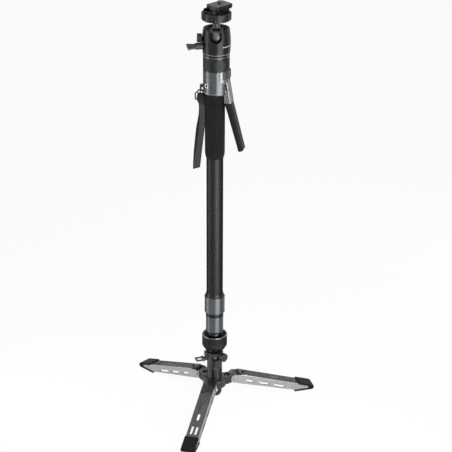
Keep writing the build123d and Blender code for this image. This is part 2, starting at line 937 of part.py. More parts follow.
# Lock ring: a cup round the foot
cup_bottom = foot_flange_top + piece_gap
cup_top = cup_bottom + cup_height
cup_hole_radius = foot_hub_radius + running_fit
cup_inner_radius = cup_radius - cup_wall
save(
    turned(
        "cup_lock_ring",
        [
            (cup_hole_radius, cup_bottom),
            (cup_taper_radius, cup_bottom),
            (cup_radius, cup_bottom + cup_taper_height),
            (cup_radius, cup_top - cup_lip),
            (cup_radius - cup_lip / 2, cup_top),
            (cup_inner_radius + cup_lip / 2, cup_top),
            (cup_inner_radius, cup_top - cup_lip),
            (cup_inner_radius, cup_bottom + cup_floor),
            (cup_hole_radius, cup_bottom + cup_floor),
        ],
    ),
    "cup_lock_ring",
)

# Tubes, their guides on top and their bushes below
rod_hole_radius = rod_radius + piece_gap
tubes = (
    ("lower", lower_tube_radius, lower_wall, lower_tube_bottom, lower_tube_top),
    ("middle", middle_tube_radius, middle_wall, middle_tube_bottom, middle_tube_top),
    ("upper", upper_tube_radius, upper_wall, upper_tube_bottom, upper_tube_top),
)
for name, radius, wall, bottom, top in tubes:
    save(sleeve(f"{name}_tube", bottom, top, radius, radius - wall), f"{name}_tube")

for inner_tube, outer_tube in zip(tubes, tubes[1:]):
    name, radius, wall, bottom, top = inner_tube
    guide_radius = outer_tube[1] - outer_tube[2] - running_fit
    save(
        turned(
            f"{name}_guide",
            [
                (radius, top - guide_length),
                (guide_radius, top - guide_length),
                (guide_radius, top + guide_cap),
                (rod_hole_radius, top + guide_cap),
                (rod_hole_radius, top),
                (radius, top),
            ],
        ),
        f"{name}_guide",
    )

collars = (
    ("lower", tubes[0], tubes[1], lower_collar_bottom, lower_collar_top, lower_band_top),
    ("upper", tubes[1], tubes[2], upper_collar_bottom, upper_collar_top, upper_band_top),
)
collar_radii = {"lower": lower_collar_radius, "upper": upper_collar_radius}
band_radii = {"lower": lower_collar_radius, "upper": upper_band_radius}
for name, inner_tube, outer_tube, bottom, top, band_top in collars:
    tube_radius = outer_tube[1]
    tube_bottom = outer_tube[3]
    bore_radius = inner_tube[1] + running_fit
    collar_radius = collar_radii[name]
    band_radius = band_radii[name]
    save(
        turned(
            f"{name}_collar",
            [
                (tube_radius, bottom),
                (collar_radius - collar_bevel, bottom),
                (collar_radius, bottom + collar_bevel),
                (collar_radius, top - collar_bevel / 2),
                (collar_radius - collar_bevel / 2, top),
                (tube_radius, top),
            ],
        ),
        f"{name}_collar",
    )
    save(
        turned(
            f"{name}_collar_band",
            [
                (tube_radius, top),
                (band_radius - collar_bevel / 2, top),
                (band_radius, top + collar_bevel / 2),
                (band_radius, band_top - collar_bevel),
                (band_radius - collar_bevel, band_top),
                (tube_radius, band_top),
            ],
        ),
        f"{name}_collar_band",
    )
    save(
        turned(
            f"{name}_bush",
            [
                (bore_radius, bottom),
                (tube_radius, bottom),
                (tube_radius, tube_bottom),
                (tube_radius - outer_tube[2], tube_bottom),
                (tube_radius - outer_tube[2], tube_bottom + bush_length),
                (bore_radius, tube_bottom + bush_length),
            ],
        ),
        f"{name}_bush",
    )

# Foam grip, with a tapered lower end
save(
    turned(
        "foam_grip",
        [
            (upper_tube_radius, grip_bottom),
            (grip_taper_radius, grip_bottom),
            (grip_radius, grip_bottom + grip_taper_length),
            (grip_radius, grip_top),
            (upper_tube_radius, grip_top),
        ],
    ),
    "foam_grip",
)


def head_level(height):
    """A level plane centred on the head's axis."""
    return Plane(origin=(head_offset, 0, height))


def band_sector(height, outside, inside, centre, span):
    """A curved strip seen from above: a stretch of the ring between two radii."""
    reach = 2 * outside
    half = radians(span) / 2
    middle = radians(centre)
    with BuildSketch(head_level(height)) as sector:
        Circle(outside)
        Circle(inside, mode=Mode.SUBTRACT)
        with BuildLine():
            Polyline(
                (0, 0),
                (reach * cos(middle - half), reach * sin(middle - half)),
                (reach * cos(middle), reach * sin(middle)),
                (reach * cos(middle + half), reach * sin(middle + half)),
                close=True,
            )
        make_face(mode=Mode.INTERSECT)
    return sector.sketch


# The accessory socket sits in the housing's wall, on the strap's side
socket_centre = housing_bottom + socket_height
socket_plane = facing(
    socket_azimuth, housing_radius - socket_pad_sink, socket_centre, head_offset
)
single_hole_plane = facing(
    single_hole_azimuth,
    housing_radius - single_hole_depth,
    housing_bottom + single_hole_height,
    head_offset,
)

# Handle housing: the socket of the upper tube, the mechanism's chamber and the
# pocket and lugs of the lever
pocket_half = lever_half_width + lever_pocket_gap
ear_room = lever_ear_radius + lever_pocket_gap
pocket_step = lever_pivot_height - ear_room
pocket_roof = lever_pivot_height + ear_room
chamber_top = housing_top - chamber_roof
with BuildPart() as handle_housing:
    with BuildSketch(head_level(housing_bottom)):
        Circle(housing_radius)
    extrude(amount=housing_height)
    chamfer(handle_housing.edges().group_by(Axis.Z)[0], housing_bevel)
    with BuildSketch(Plane.XY.offset(housing_bottom)):
        Circle(upper_tube_radius)
    extrude(amount=housing_socket, mode=Mode.SUBTRACT)
    with BuildSketch(Plane.XY.offset(upper_tube_top)):
        Circle(chamber_radius)
    extrude(amount=chamber_top - upper_tube_top, mode=Mode.SUBTRACT)
    with BuildSketch(Plane.XZ):
        with BuildLine():
            Polyline(
                (lever_pocket_face, housing_bottom - overrun),
                (2 * housing_radius, housing_bottom - overrun),
                (2 * housing_radius, pocket_roof),
                (lever_pivot_x - ear_room, pocket_roof),
                (lever_pivot_x - ear_room, pocket_step),
                (lever_pocket_face, pocket_step),
                close=True,
            )
        make_face()
    extrude(amount=pocket_half, both=True, mode=Mode.SUBTRACT)
    lug_start = lever_tongue_half_width + lever_pocket_gap
    slot_start = lug_start + lever_lug_width
    for lug_side in (-1, 1):
        with BuildSketch(Plane.XZ.offset(lug_side * slot_start)):
            with BuildLine():
                Polyline(
                    (lever_slot_face, housing_bottom - overrun),
                    (2 * housing_radius, housing_bottom - overrun),
                    (2 * housing_radius, pocket_roof),
                    (lever_slot_face, pocket_roof),
                    close=True,
                )
            make_face()
        extrude(amount=lug_side * (pocket_half - slot_start), mode=Mode.SUBTRACT)
        with BuildSketch(Plane.XZ.offset(lug_side * lug_start)):
            with Locations((lever_pivot_x, lever_pivot_height)):
                Circle(lever_ear_radius)
            with Locations((lever_pivot_x, (lever_pivot_height + pocket_roof + overrun) / 2)):
                Rectangle(2 * lever_ear_radius, pocket_roof + overrun - lever_pivot_height)
            with Locations((lever_pivot_x, lever_pivot_height)):
                Circle(lever_pin_radius, mode=Mode.SUBTRACT)
        extrude(amount=lug_side * lever_lug_width)
    with BuildSketch(head_level(pocket_step)):
        Circle(2 * housing_radius)
        Circle(housing_radius, mode=Mode.SUBTRACT)
    extrude(amount=housing_top - pocket_step, mode=Mode.SUBTRACT)
    with BuildSketch(Plane.XY.offset(chamber_top)):
        with Locations((head_offset, 0)):
            Circle(head_bolt_radius)
    extrude(amount=chamber_roof, mode=Mode.SUBTRACT)
    with BuildSketch(socket_plane):
        Circle(socket_pad_radius)
    extrude(amount=housing_radius, mode=Mode.SUBTRACT)
    with BuildSketch(socket_plane):
        for pin_side in (-1, 1):
            with Locations((0, pin_side * socket_pin_spacing)):
                Circle(socket_pin_radius)
    extrude(amount=housing_radius, mode=Mode.SUBTRACT)
    with BuildSketch(single_hole_plane):
        Circle(single_hole_radius)
    extrude(amount=housing_radius, mode=Mode.SUBTRACT)
save(handle_housing.part, "handle_housing")

# Side covers: curved plates with rounded corners over the housing
with BuildPart() as side_covers:
    for centre in side_cover_centres:
        extrude(
            band_sector(
                housing_bottom + side_cover_margin,
                housing_radius + cover_thickness,
                housing_radius,
                centre,
                side_cover_span,
            ),
            amount=housing_height - 2 * side_cover_margin,
        )
    fillet(
        side_covers.edges().filter_by(
            lambda edge: edge.geom_type == GeomType.LINE and edge.length < 2 * cover_thickness
        ),
        side_cover_corner,
    )
    cover_face_radius = housing_radius + cover_thickness
    border_angle = degrees(side_cover_border / cover_face_radius)
    for centre in side_cover_centres:
        extrude(
            band_sector(
                housing_bottom + side_cover_margin + side_cover_border,
                cover_face_radius + overrun,
                cover_face_radius - side_cover_recess,
                centre,
                side_cover_span - 2 * border_angle,
            ),
            amount=housing_height - 2 * side_cover_margin - 2 * side_cover_border,
            mode=Mode.SUBTRACT,
        )
    with BuildSketch(socket_plane):
        Circle(socket_pad_radius)
        for pin_side in (-1, 1):
            with Locations((0, pin_side * socket_pin_spacing)):
                Circle(socket_pin_radius)
    extrude(amount=housing_radius, mode=Mode.SUBTRACT)
    with BuildSketch(single_hole_plane):
        Circle(single_hole_radius)
    extrude(amount=housing_radius, mode=Mode.SUBTRACT)
save(side_covers.part, "side_covers")

# Threaded socket for accessories
with BuildPart() as accessory_socket:
    with BuildSketch(socket_plane):
        Circle(socket_pad_radius)
        Circle(socket_hole_radius, mode=Mode.SUBTRACT)
    extrude(amount=socket_pad_thickness)
save(accessory_socket.part, "accessory_socket")

# Lever: a fork on the pivot pin, a web across it, a tongue and a finger for the rod
lever_heights = [lever_pivot_height - drop for drop in lever_edge_drops]
inner_edge = list(zip(lever_inner_places, lever_heights))
outer_edge = list(zip(lever_outer_places, lever_heights))


def between(first, second, share):
    """The place a share of the way from one point to another."""
    return (
        first[0] + share * (second[0] - first[0]),
        first[1] + share * (second[1] - first[1]),
    )


def long_edges(piece, run):
    """The edges of a piece that lie in its sides, along a run of points."""
    middles = [between(first, second, 1 / 2) for first, second in zip(run, run[1:])]
    return piece.edges().filter_by(
        lambda edge: any(
            abs(edge.center().X - x) + abs(edge.center().Z - z) < running_fit for x, z in middles
        )
    )


web_inner = [(x - lever_web, z) for x, z in outer_edge]
core_outer = [(x - lever_core_inset, z) for x, z in outer_edge[1:]]
core_outer[-1] = between(core_outer[-2], core_outer[-1], lever_core_share)
core_inner = [(x - lever_core_thickness, z) for x, z in core_outer]
finger_top = lever_pivot_height - lever_finger_drop
with BuildPart() as lever_frame:
    with BuildSketch(Plane.XZ):
        with BuildLine():
            Polyline(*inner_edge[:2], *reversed(outer_edge[:2]), close=True)
        make_face()
        with Locations((lever_pivot_x, lever_pivot_height)):
            Circle(lever_ear_radius)
        with BuildLine():
            Polyline(
                (lever_pivot_x - lever_ear_radius, lever_pivot_height),
                (lever_pivot_x + lever_ear_radius, lever_pivot_height),
                (lever_pivot_x + lever_ear_radius, outer_edge[0][1]),
                between(inner_edge[0], inner_edge[1], lever_ear_share),
                close=True,
            )
        make_face()
    extrude(amount=lever_half_width, both=True)
    fillet(long_edges(lever_frame, outer_edge[:2]), lever_frame_round)
    with BuildSketch(Plane.XZ):
        with BuildLine():
            Polyline(
                (0, lever_pivot_height + 2 * lever_ear_radius),
                (2 * housing_radius, lever_pivot_height + 2 * lever_ear_radius),
                (2 * housing_radius, web_inner[0][1]),
                web_inner[0],
                web_inner[1],
                (web_inner[1][0], web_inner[1][1] - overrun),
                (0, web_inner[1][1] - overrun),
                close=True,
            )
        make_face()
    extrude(amount=lever_half_width - lever_wall, both=True, mode=Mode.SUBTRACT)
    with BuildSketch(Plane.XZ):
        with BuildLine():
            Polyline(
                (lever_pivot_x, lever_pivot_height + lever_ear_radius),
                (lever_pivot_x - lever_ear_radius, lever_pivot_height),
                (lever_pivot_x - lever_ear_radius, finger_top),
                (lever_finger_reach, finger_top),
                (lever_finger_reach, finger_top - lever_finger_thickness),
                (lever_tongue_face, finger_top - lever_finger_thickness),
                (lever_tongue_face, pocket_step - lever_ear_radius),
                between(outer_edge[0], outer_edge[1], 2 / 5),
                outer_edge[0],
                (lever_pivot_x + lever_ear_radius, outer_edge[0][1]),
                (lever_pivot_x + lever_ear_radius, lever_pivot_height),
                close=True,
            )
        make_face()
    extrude(amount=lever_tongue_half_width, both=True)
    with BuildSketch(Plane.XZ):
        with BuildLine():
            Polyline(*core_inner, *reversed(core_outer), close=True)
        make_face()
    extrude(amount=lever_half_width / 2, both=True)
    with BuildSketch(Plane.XZ):
        for window_shares in (lever_window_shares, lever_slit_shares):
            corners = [
                between(
                    between(inner_edge[0], inner_edge[1], down),
                    between(outer_edge[0], outer_edge[1], down),
                    across,
                )
                for across, down in window_shares
            ]
            with BuildLine():
                Polyline(*corners, close=True)
            make_face()
    extrude(amount=2 * lever_half_width, both=True, mode=Mode.SUBTRACT)
    with BuildSketch(Plane.XZ):
        with Locations((lever_pivot_x, lever_pivot_height)):
            Circle(lever_pin_radius + running_fit)
    extrude(amount=2 * lever_half_width, both=True, mode=Mode.SUBTRACT)
save(lever_frame.part, "lever_frame")

# Rubber grip of the lever: a channel that is open towards the handle
tip_height = lever_pivot_height - lever_tip_drop
inner_tip = (inner_edge[-1][0] + lever_tip_lean, tip_height)
outer_tip = (outer_edge[-1][0] + lever_tip_lean, tip_height + lever_tip_rise)
with BuildPart() as lever_grip:
    with BuildSketch(Plane.XZ):
        with BuildLine():
            Polyline(
                *inner_edge[1:],
                inner_tip,
                outer_tip,
                *reversed(outer_edge[1:]),
                close=True,
            )
        make_face()
    extrude(amount=lever_half_width, both=True)
    fillet(long_edges(lever_grip, [*outer_edge[1:], outer_tip]), lever_grip_round)
    fillet(lever_grip.edges().filter_by(Axis.Y).sort_by(Axis.Z)[:2], lever_tip_radius)
    with BuildSketch(Plane.XZ):
        with BuildLine():
            Polyline(
                (0, outer_edge[1][1] + overrun),
                (outer_edge[1][0] - lever_grip_web, outer_edge[1][1] + overrun),
                (outer_edge[2][0] - lever_grip_web, outer_edge[2][1]),
                between(
                    (outer_edge[2][0] - lever_grip_web, outer_edge[2][1]),
                    (outer_edge[3][0] - lever_grip_web, outer_edge[3][1]),
                    lever_core_share,
                ),
                between(inner_edge[2], inner_edge[3], lever_core_share),
                (0, between(inner_edge[2], inner_edge[3], lever_core_share)[1]),
                close=True,
            )
        make_face()
    extrude(amount=lever_half_width - lever_wall, both=True, mode=Mode.SUBTRACT)
    with BuildSketch(Plane.XZ):
        with BuildLine():
            Polyline(*core_inner, *reversed(core_outer), close=True)
        make_face()
    extrude(amount=lever_half_width / 2, both=True, mode=Mode.SUBTRACT)
save(lever_grip.part, "lever_grip")

with BuildPart() as lever_pin:
    with BuildSketch(Plane.XZ):
        with Locations((lever_pivot_x, lever_pivot_height)):
            Circle(lever_pin_radius)
    extrude(amount=lever_half_width, both=True)
save(lever_pin.part, "lever_pin")

# Cover over the pivot: a raised rim open at the top, with a sunk floor
cover_bottom = housing_top - cover_height
cover_face = housing_radius + cover_rise
with BuildPart() as lever_cover:
    extrude(
        band_sector(cover_bottom, cover_face, housing_radius, 0, cover_span),
        amount=cover_height,
    )
    fillet(
        lever_cover.edges().filter_by(
            lambda edge: edge.geom_type == GeomType.LINE
            and edge.length < 2 * cover_rise
            and edge.center().Z < cover_bottom + cover_height / 2
        ),
        cover_corner,
    )
    border_angle = degrees(cover_border / cover_face)
    extrude(
        band_sector(
            cover_bottom + cover_border,
            cover_face + overrun,
            housing_radius + cover_floor_rise,
            0,
            cover_span - 2 * border_angle,
        ),
        amount=cover_height,
        mode=Mode.SUBTRACT,
    )
save(lever_cover.part, "lever_cover")

# Safety slider on the cover's floor
slider_top = housing_top - slider_margin
slider_base = housing_radius + cover_floor_rise + piece_gap
slider_span = 2 * degrees(asin(slider_half_width / slider_base))
with BuildPart() as safety_slider:
    extrude(
        band_sector(
            slider_top - slider_height,
            slider_base + slider_rise,
            slider_base,
            0,
            slider_span,
        ),
        amount=slider_height,
    )
    for rib in range(slider_rib_count):
        rib_height = slider_top - (rib + 1) * slider_height / (slider_rib_count + 1)
        extrude(
            band_sector(
                rib_height - slider_rib_width / 2,
                slider_base + slider_rise + overrun,
                slider_base + slider_rise - slider_rib_depth,
                0,
                slider_span * slider_groove_share,
            ),
            amount=slider_rib_width,
            mode=Mode.SUBTRACT,
        )
save(safety_slider.part, "safety_slider")

# Release rod: a long bar with a flange over the lever's finger
flange_bottom = finger_top + piece_gap
rod_top = flange_bottom + rod_flange_thickness
plug_bottom = upper_tube_top - plug_length
shoulder_top = plug_bottom - rod_spring_length
save(
    turned(
        "release_rod",
        [
            (0, rod_top - rod_length),
            (rod_radius, rod_top - rod_length),
            (rod_radius, shoulder_top - rod_shoulder_height),
            (rod_shoulder_radius, shoulder_top - rod_shoulder_height),
            (rod_shoulder_radius, shoulder_top),
            (rod_radius, shoulder_top),
            (rod_radius, flange_bottom),
            (rod_flange_radius, flange_bottom),
            (rod_flange_radius, rod_top),
            (0, rod_top),
        ],
    ),
    "release_rod",
)

# Plug that guides the rod in the top of the upper tube, and the rod's spring
save(
    sleeve(
        "rod_plug",
        plug_bottom,
        upper_tube_top,
        upper_tube_radius - upper_wall,
        rod_radius + running_fit,
    ),
    "rod_plug",
)

spring_wire = rod_spring_wire
spring_run = rod_spring_length - 2 * spring_wire - 2 * piece_gap
with BuildPart() as rod_spring:
    with BuildLine():
        spring_path = Helix(
            pitch=spring_run / rod_spring_turns,
            height=spring_run,
            radius=rod_spring_radius,
            center=(0, 0, shoulder_top + spring_wire + piece_gap),
        )
    with BuildSketch(Plane(origin=spring_path @ 0, z_dir=spring_path % 0)):
        Circle(spring_wire)
    sweep(path=spring_path)
save(rod_spring.part, "rod_spring")

# Strap lug: an arm off the housing and a hanging plate with a hole
lug_top = housing_bottom + lug_height - lug_drop
lug_face = head_offset - housing_radius - lug_reach
with BuildPart() as strap_lug:
    with BuildSketch(Plane.XZ):
        with BuildLine():
            Polyline(
                (head_offset - housing_radius, lug_top),
                (lug_face, lug_top),
                (lug_face, lug_top - lug_height),
                (lug_face + lug_plate, lug_top - lug_height),
                (lug_face + lug_plate, lug_top - lug_arm),
                (head_offset - housing_radius, lug_top - lug_arm),
                close=True,
            )
        make_face()
    extrude(amount=lug_width / 2, both=True)
    with BuildSketch(head_level(lug_top - lug_height)):
        Circle(housing_radius + cover_thickness)
    extrude(amount=2 * lug_height, mode=Mode.SUBTRACT)
    lug_hole_height = lug_top - lug_height + lug_width / 2
    with BuildSketch(Plane.YZ.offset(lug_face - overrun)):
        with Locations((0, lug_hole_height)):
            Circle(lug_hole_radius)
    extrude(amount=lug_plate + 2 * overrun, mode=Mode.SUBTRACT)
save(strap_lug.part, "strap_lug")

# Strap clip: a wire loop through the lug's hole, wide at the bottom for the strap
clip_top = lug_hole_height - lug_hole_radius + clip_wire_radius
clip_bottom = clip_top - clip_height
clip_left = -strap_place - clip_inside_gap - clip_wire_radius
clip_right = -strap_place + strap_width + clip_wire_radius
clip_middle = lug_face + lug_plate / 2
with BuildPart() as strap_clip:
    with BuildLine(Plane.XZ) as clip_path:
        FilletPolyline(
            (clip_middle, clip_top),
            (clip_middle + clip_top_half, clip_top),
            (clip_right, clip_top - clip_shoulder),
            (clip_right, clip_bottom),
            (clip_middle, clip_bottom),
            radius=clip_corner,
        )
        FilletPolyline(
            (clip_middle, clip_bottom),
            (clip_left, clip_bottom),
            (clip_left, clip_top - clip_shoulder),
            (clip_middle - clip_top_half, clip_top),
            (clip_middle, clip_top),
            radius=clip_corner,
        )
    with BuildSketch(Plane.YZ.offset(clip_middle)):
        with Locations((0, clip_top)):
            Circle(clip_wire_radius)
    sweep(path=clip_path.wires()[0])
save(strap_clip.part, "strap_clip")

# Wrist strap: a flat loop of webbing that hangs from the clip and leans outward
lean = radians(strap_lean)
strap_above_bar = strap_gap / 2 + strap_thickness + strap_width * sin(lean)
strap_plane = Plane(
    origin=(-strap_place, 0, clip_bottom),
    x_dir=(0, 1, 0),
    z_dir=(cos(lean), 0, -sin(lean)),
)
with BuildPart() as strap:
    with BuildSketch(strap_plane):
        with Locations((0, strap_above_bar - strap_length / 2)):
            SlotOverall(strap_length, strap_gap + 2 * strap_thickness, rotation=90)
            SlotOverall(
                strap_length - 2 * strap_thickness,
                strap_gap,
                rotation=90,
                mode=Mode.SUBTRACT,
            )
    extrude(amount=strap_width)
save(strap.part, "wrist_strap")

# Pan base: the drum under the ball housing, bolted to the handle's roof
with BuildPart() as pan_base:
    with BuildSketch(head_level(housing_top)):
        Circle(pan_base_radius)
    extrude(amount=pan_base_height)
    chamfer(pan_base.edges().filter_by(GeomType.CIRCLE), collar_bevel / 2)
    with BuildSketch(head_level(pan_base_top)):
        Circle(pan_spigot_radius)
    extrude(amount=pan_spigot_height)
    with BuildSketch(head_level(housing_top)):
        Circle(head_bolt_radius)
    extrude(amount=head_bolt_reach, mode=Mode.SUBTRACT)
save(pan_base.part, "pan_base")

with BuildPart() as head_bolt:
    with BuildSketch(head_level(chamber_top)):
        RegularPolygon(head_bolt_head_radius, 6)
    extrude(amount=-head_bolt_head_height)
    with BuildSketch(head_level(chamber_top)):
        Circle(head_bolt_radius)
    extrude(amount=chamber_roof + head_bolt_reach)
save(head_bolt.part, "head_bolt")

# Ball housing: a bellied cup with a cavity for the ball and a notch in its rim
cavity_radius = ball_radius + ball_gap
lip_radius = sqrt(cavity_radius**2 - ball_lip_height**2)
notch_azimuth = head_turn - 90.0
wing_azimuth = head_turn + 180.0 + wing_turn
friction_azimuth = head_turn + 180.0
cavity_floor = head_bottom + pan_spigot_height + housing_web
belly_height = head_bottom + ball_housing_belly_height


def housing_face(height):
    """The radius of the ball housing's outside at a height, on its belly's arc."""
    low = (housing_foot_radius, head_bottom + ball_housing_chamfer)
    mid = (ball_housing_belly_radius, belly_height)
    high = (ball_housing_rim_radius, head_top)
    share_low = (height - mid[1]) * (height - high[1]) / ((low[1] - mid[1]) * (low[1] - high[1]))
    share_mid = (height - low[1]) * (height - high[1]) / ((mid[1] - low[1]) * (mid[1] - high[1]))
    share_high = (height - low[1]) * (height - mid[1]) / ((high[1] - low[1]) * (high[1] - mid[1]))
    return low[0] * share_low + mid[0] * share_mid + high[0] * share_high


with BuildPart() as ball_housing:
    with BuildSketch(upright(0, head_offset)):
        with BuildLine():
            Polyline(
                (ball_housing_rim_radius, head_top),
                (0, head_top),
                (0, head_bottom),
                (housing_foot_radius - ball_housing_chamfer, head_bottom),
                (housing_foot_radius, head_bottom + ball_housing_chamfer),
            )
            ThreePointArc(
                (housing_foot_radius, head_bottom + ball_housing_chamfer),
                (ball_housing_belly_radius, belly_height),
                (ball_housing_rim_radius, head_top),
            )
        make_face()
    revolve(axis=Axis((head_offset, 0, 0), (0, 0, 1)))
    with BuildSketch(upright(0, head_offset)):
        with BuildLine():
            Polyline(
                (lip_radius, ball_centre + ball_lip_height),
                (ball_housing_rim_radius - ball_housing_rim_wall, head_top + overrun),
                (0, head_top + overrun),
                (0, cavity_floor),
                (cavity_radius, cavity_floor),
                (cavity_radius, ball_centre),
            )
            RadiusArc(
                (cavity_radius, ball_centre),
                (lip_radius, ball_centre + ball_lip_height),
                -cavity_radius,
            )
        make_face()
    revolve(axis=Axis((head_offset, 0, 0), (0, 0, 1)), mode=Mode.SUBTRACT)
    with BuildSketch(head_level(head_bottom)):
        Circle(pan_spigot_radius + running_fit)
    extrude(amount=pan_spigot_height + piece_gap, mode=Mode.SUBTRACT)
    notch_centre = ball_centre - notch_drop + notch_width / 2
    with BuildSketch(facing(notch_azimuth, 0, notch_centre, head_offset)):
        Circle(notch_width / 2)
        with Locations((0, notch_width)):
            Rectangle(notch_width, 2 * notch_width)
    extrude(amount=2 * ball_housing_belly_radius, mode=Mode.SUBTRACT)
    for azimuth, height, radius in (
        (wing_azimuth, head_bottom + wing_axis_height, wing_shaft_radius),
        (friction_azimuth, head_bottom + friction_axis_height, friction_shaft_radius),
    ):
        with BuildSketch(facing(azimuth, ball_radius, height, head_offset)):
            Circle(radius + running_fit)
        extrude(amount=ball_radius, mode=Mode.SUBTRACT)
save(ball_housing.part, "ball_housing")

# Friction seat under the ball
seat_face = ball_radius + ball_gap
seat_outer_radius = cavity_radius - running_fit
seat_top = cavity_floor + seat_height
seat_mouth_radius = sqrt(seat_face**2 - (ball_centre - seat_top) ** 2)
seat_bore_height = ball_centre - sqrt(seat_face**2 - seat_bore**2)
with BuildPart() as ball_seat:
    with BuildSketch(upright(0, head_offset)):
        with BuildLine():
            Polyline(
                (seat_bore, seat_bore_height),
                (seat_bore, cavity_floor),
                (seat_outer_radius, cavity_floor),
                (seat_outer_radius, seat_top),
                (seat_mouth_radius, seat_top),
            )
            RadiusArc(
                (seat_mouth_radius, seat_top),
                (seat_bore, seat_bore_height),
                seat_face,
            )
        make_face()
    revolve(axis=Axis((head_offset, 0, 0), (0, 0, 1)))
save(ball_seat.part, "ball_seat")

# Ball with its neck, and the spigot that the clamp turns on
with BuildPart() as head_ball:
    with Locations((head_offset, 0, ball_centre)):
        Sphere(ball_radius)
    with BuildSketch(head_level(ball_centre)):
        Circle(neck_radius)
    extrude(amount=clamp_bottom - ball_centre)
    with BuildSketch(head_level(clamp_bottom)):
        Circle(clamp_spigot_radius)
    extrude(amount=clamp_spigot_length)
save(head_ball.part, "head_ball")

# Wing lever that locks the ball
wing_height = head_bottom + wing_axis_height
wing_start = housing_face(wing_height) + piece_gap
wing_plane = facing(wing_azimuth, wing_start, wing_height, head_offset)
with BuildPart() as wing_lever:
    with BuildSketch(wing_plane):
        Circle(wing_shaft_radius)
    extrude(amount=-wing_sink)
    with BuildSketch(wing_plane):
        Circle(wing_hub_radius)
    extrude(amount=wing_hub_length)
    with BuildSketch(wing_plane.offset(wing_hub_length - wing_blade_corner)):
        RectangleRounded(
            wing_blade_root, wing_blade_thickness, wing_blade_corner, rotation=wing_roll
        )
    with BuildSketch(wing_plane.offset(wing_hub_length + wing_blade_length)):
        RectangleRounded(
            wing_blade_tip, wing_blade_thickness, wing_blade_corner, rotation=wing_roll
        )
    loft()
save(wing_lever.part, "wing_lever")


def ribbed_knob(plane, radius, length, count, depth, width, shaft_radius, shaft_length):
    """A round knob with grooves along its side and a shaft behind it."""
    with BuildPart() as knob:
        with BuildSketch(plane):
            Circle(radius)
        extrude(amount=length)
        chamfer(knob.edges(), depth)
        with BuildSketch(plane):
            with PolarLocations(radius, count):
                Rectangle(2 * depth, width)
        extrude(amount=length, mode=Mode.SUBTRACT)
        with BuildSketch(plane):
            Circle(shaft_radius)
        extrude(amount=-shaft_length)
    return knob.part


friction_height = head_bottom + friction_axis_height
friction_start = housing_face(friction_height) + piece_gap
save(
    ribbed_knob(
        facing(friction_azimuth, friction_start, friction_height, head_offset),
        friction_knob_radius,
        friction_knob_length,
        friction_rib_count,
        knob_rib_depth,
        knob_rib_width,
        friction_shaft_radius,
        wing_sink,
    ),
    "friction_knob",
)


def clamp_level(height, place=0.0):
    """A level plane on the head's axis, or a way along the plate from it."""
    angle = radians(clamp_turn)
    return Plane(
        origin=(head_offset + place * cos(angle), place * sin(angle), height),
        x_dir=(cos(angle), sin(angle), 0),
        z_dir=(0, 0, 1),
    )


def clamp_end(place):
    """The plane across the plate's length: local x runs across, local y up."""
    angle = radians(clamp_turn)
    return Plane(
        origin=(head_offset + place * cos(angle), place * sin(angle), 0),
        x_dir=(-sin(angle), cos(angle), 0),
        z_dir=(cos(angle), sin(angle), 0),
    )


def dovetail(start, clearance, bottom, top):
    """The section of the plate's foot, which is wider at the bottom."""
    half = plate_foot_width / 2 + clearance
    with BuildSketch(clamp_end(start)) as section:
        with BuildLine():
            Polyline(
                (-half - dovetail_lean, bottom),
                (half + dovetail_lean, bottom),
                (half, top),
                (-half, top),
                close=True,
            )
        make_face()
    return section.sketch


# Clamp base: a round core inside the ring and a block with a dovetail groove
clamp_body_top = clamp_body_bottom + clamp_body_height
jaw_inner = clamp_body_width / 2 - clamp_jaw_width
jaw_floor = clamp_body_bottom + clamp_floor
core_bottom = clamp_bottom + piece_gap
with BuildPart() as clamp_base:
    with BuildSketch(clamp_level(core_bottom)):
        Circle(clamp_core_radius)
    extrude(amount=clamp_body_bottom - core_bottom)
    with BuildSketch(clamp_level(clamp_body_bottom)):
        RectangleRounded(clamp_body_length, clamp_body_width, clamp_corner)
    extrude(amount=clamp_body_height)
    with BuildSketch(clamp_level(jaw_floor)):
        with Locations((0, clamp_body_width / 2)):
            Rectangle(2 * clamp_body_length, 2 * clamp_jaw_width)
    extrude(amount=clamp_body_height, mode=Mode.SUBTRACT)
    extrude(
        dovetail(-plate_length, piece_gap, plate_bottom - piece_gap, clamp_body_top + overrun),
        amount=2 * plate_length,
        mode=Mode.SUBTRACT,
    )
    with BuildSketch(clamp_level(core_bottom)):
        Circle(clamp_spigot_radius + running_fit)
    extrude(amount=clamp_spigot_length, mode=Mode.SUBTRACT)
    with BuildSketch(clamp_end(0)):
        with Locations((-clamp_body_width / 2, (jaw_floor + clamp_body_top) / 2)):
            Circle(clamp_side_recess_radius)
    extrude(amount=clamp_side_recess_radius, both=True, mode=Mode.SUBTRACT)
save(clamp_base.part, "clamp_base")

# Jaw that closes on the plate's foot
with BuildPart() as clamp_jaw:
    with BuildSketch(clamp_level(jaw_floor + piece_gap)):
        RectangleRounded(clamp_body_length, clamp_body_width, clamp_corner)
        with Locations((0, jaw_inner + piece_gap - clamp_body_width)):
            Rectangle(2 * clamp_body_length, 2 * clamp_body_width, mode=Mode.SUBTRACT)
    extrude(amount=clamp_body_top - jaw_floor - piece_gap)
    extrude(
        dovetail(-plate_length, piece_gap, plate_bottom - piece_gap, clamp_body_top + overrun),
        amount=2 * plate_length,
        mode=Mode.SUBTRACT,
    )
save(clamp_jaw.part, "clamp_jaw")

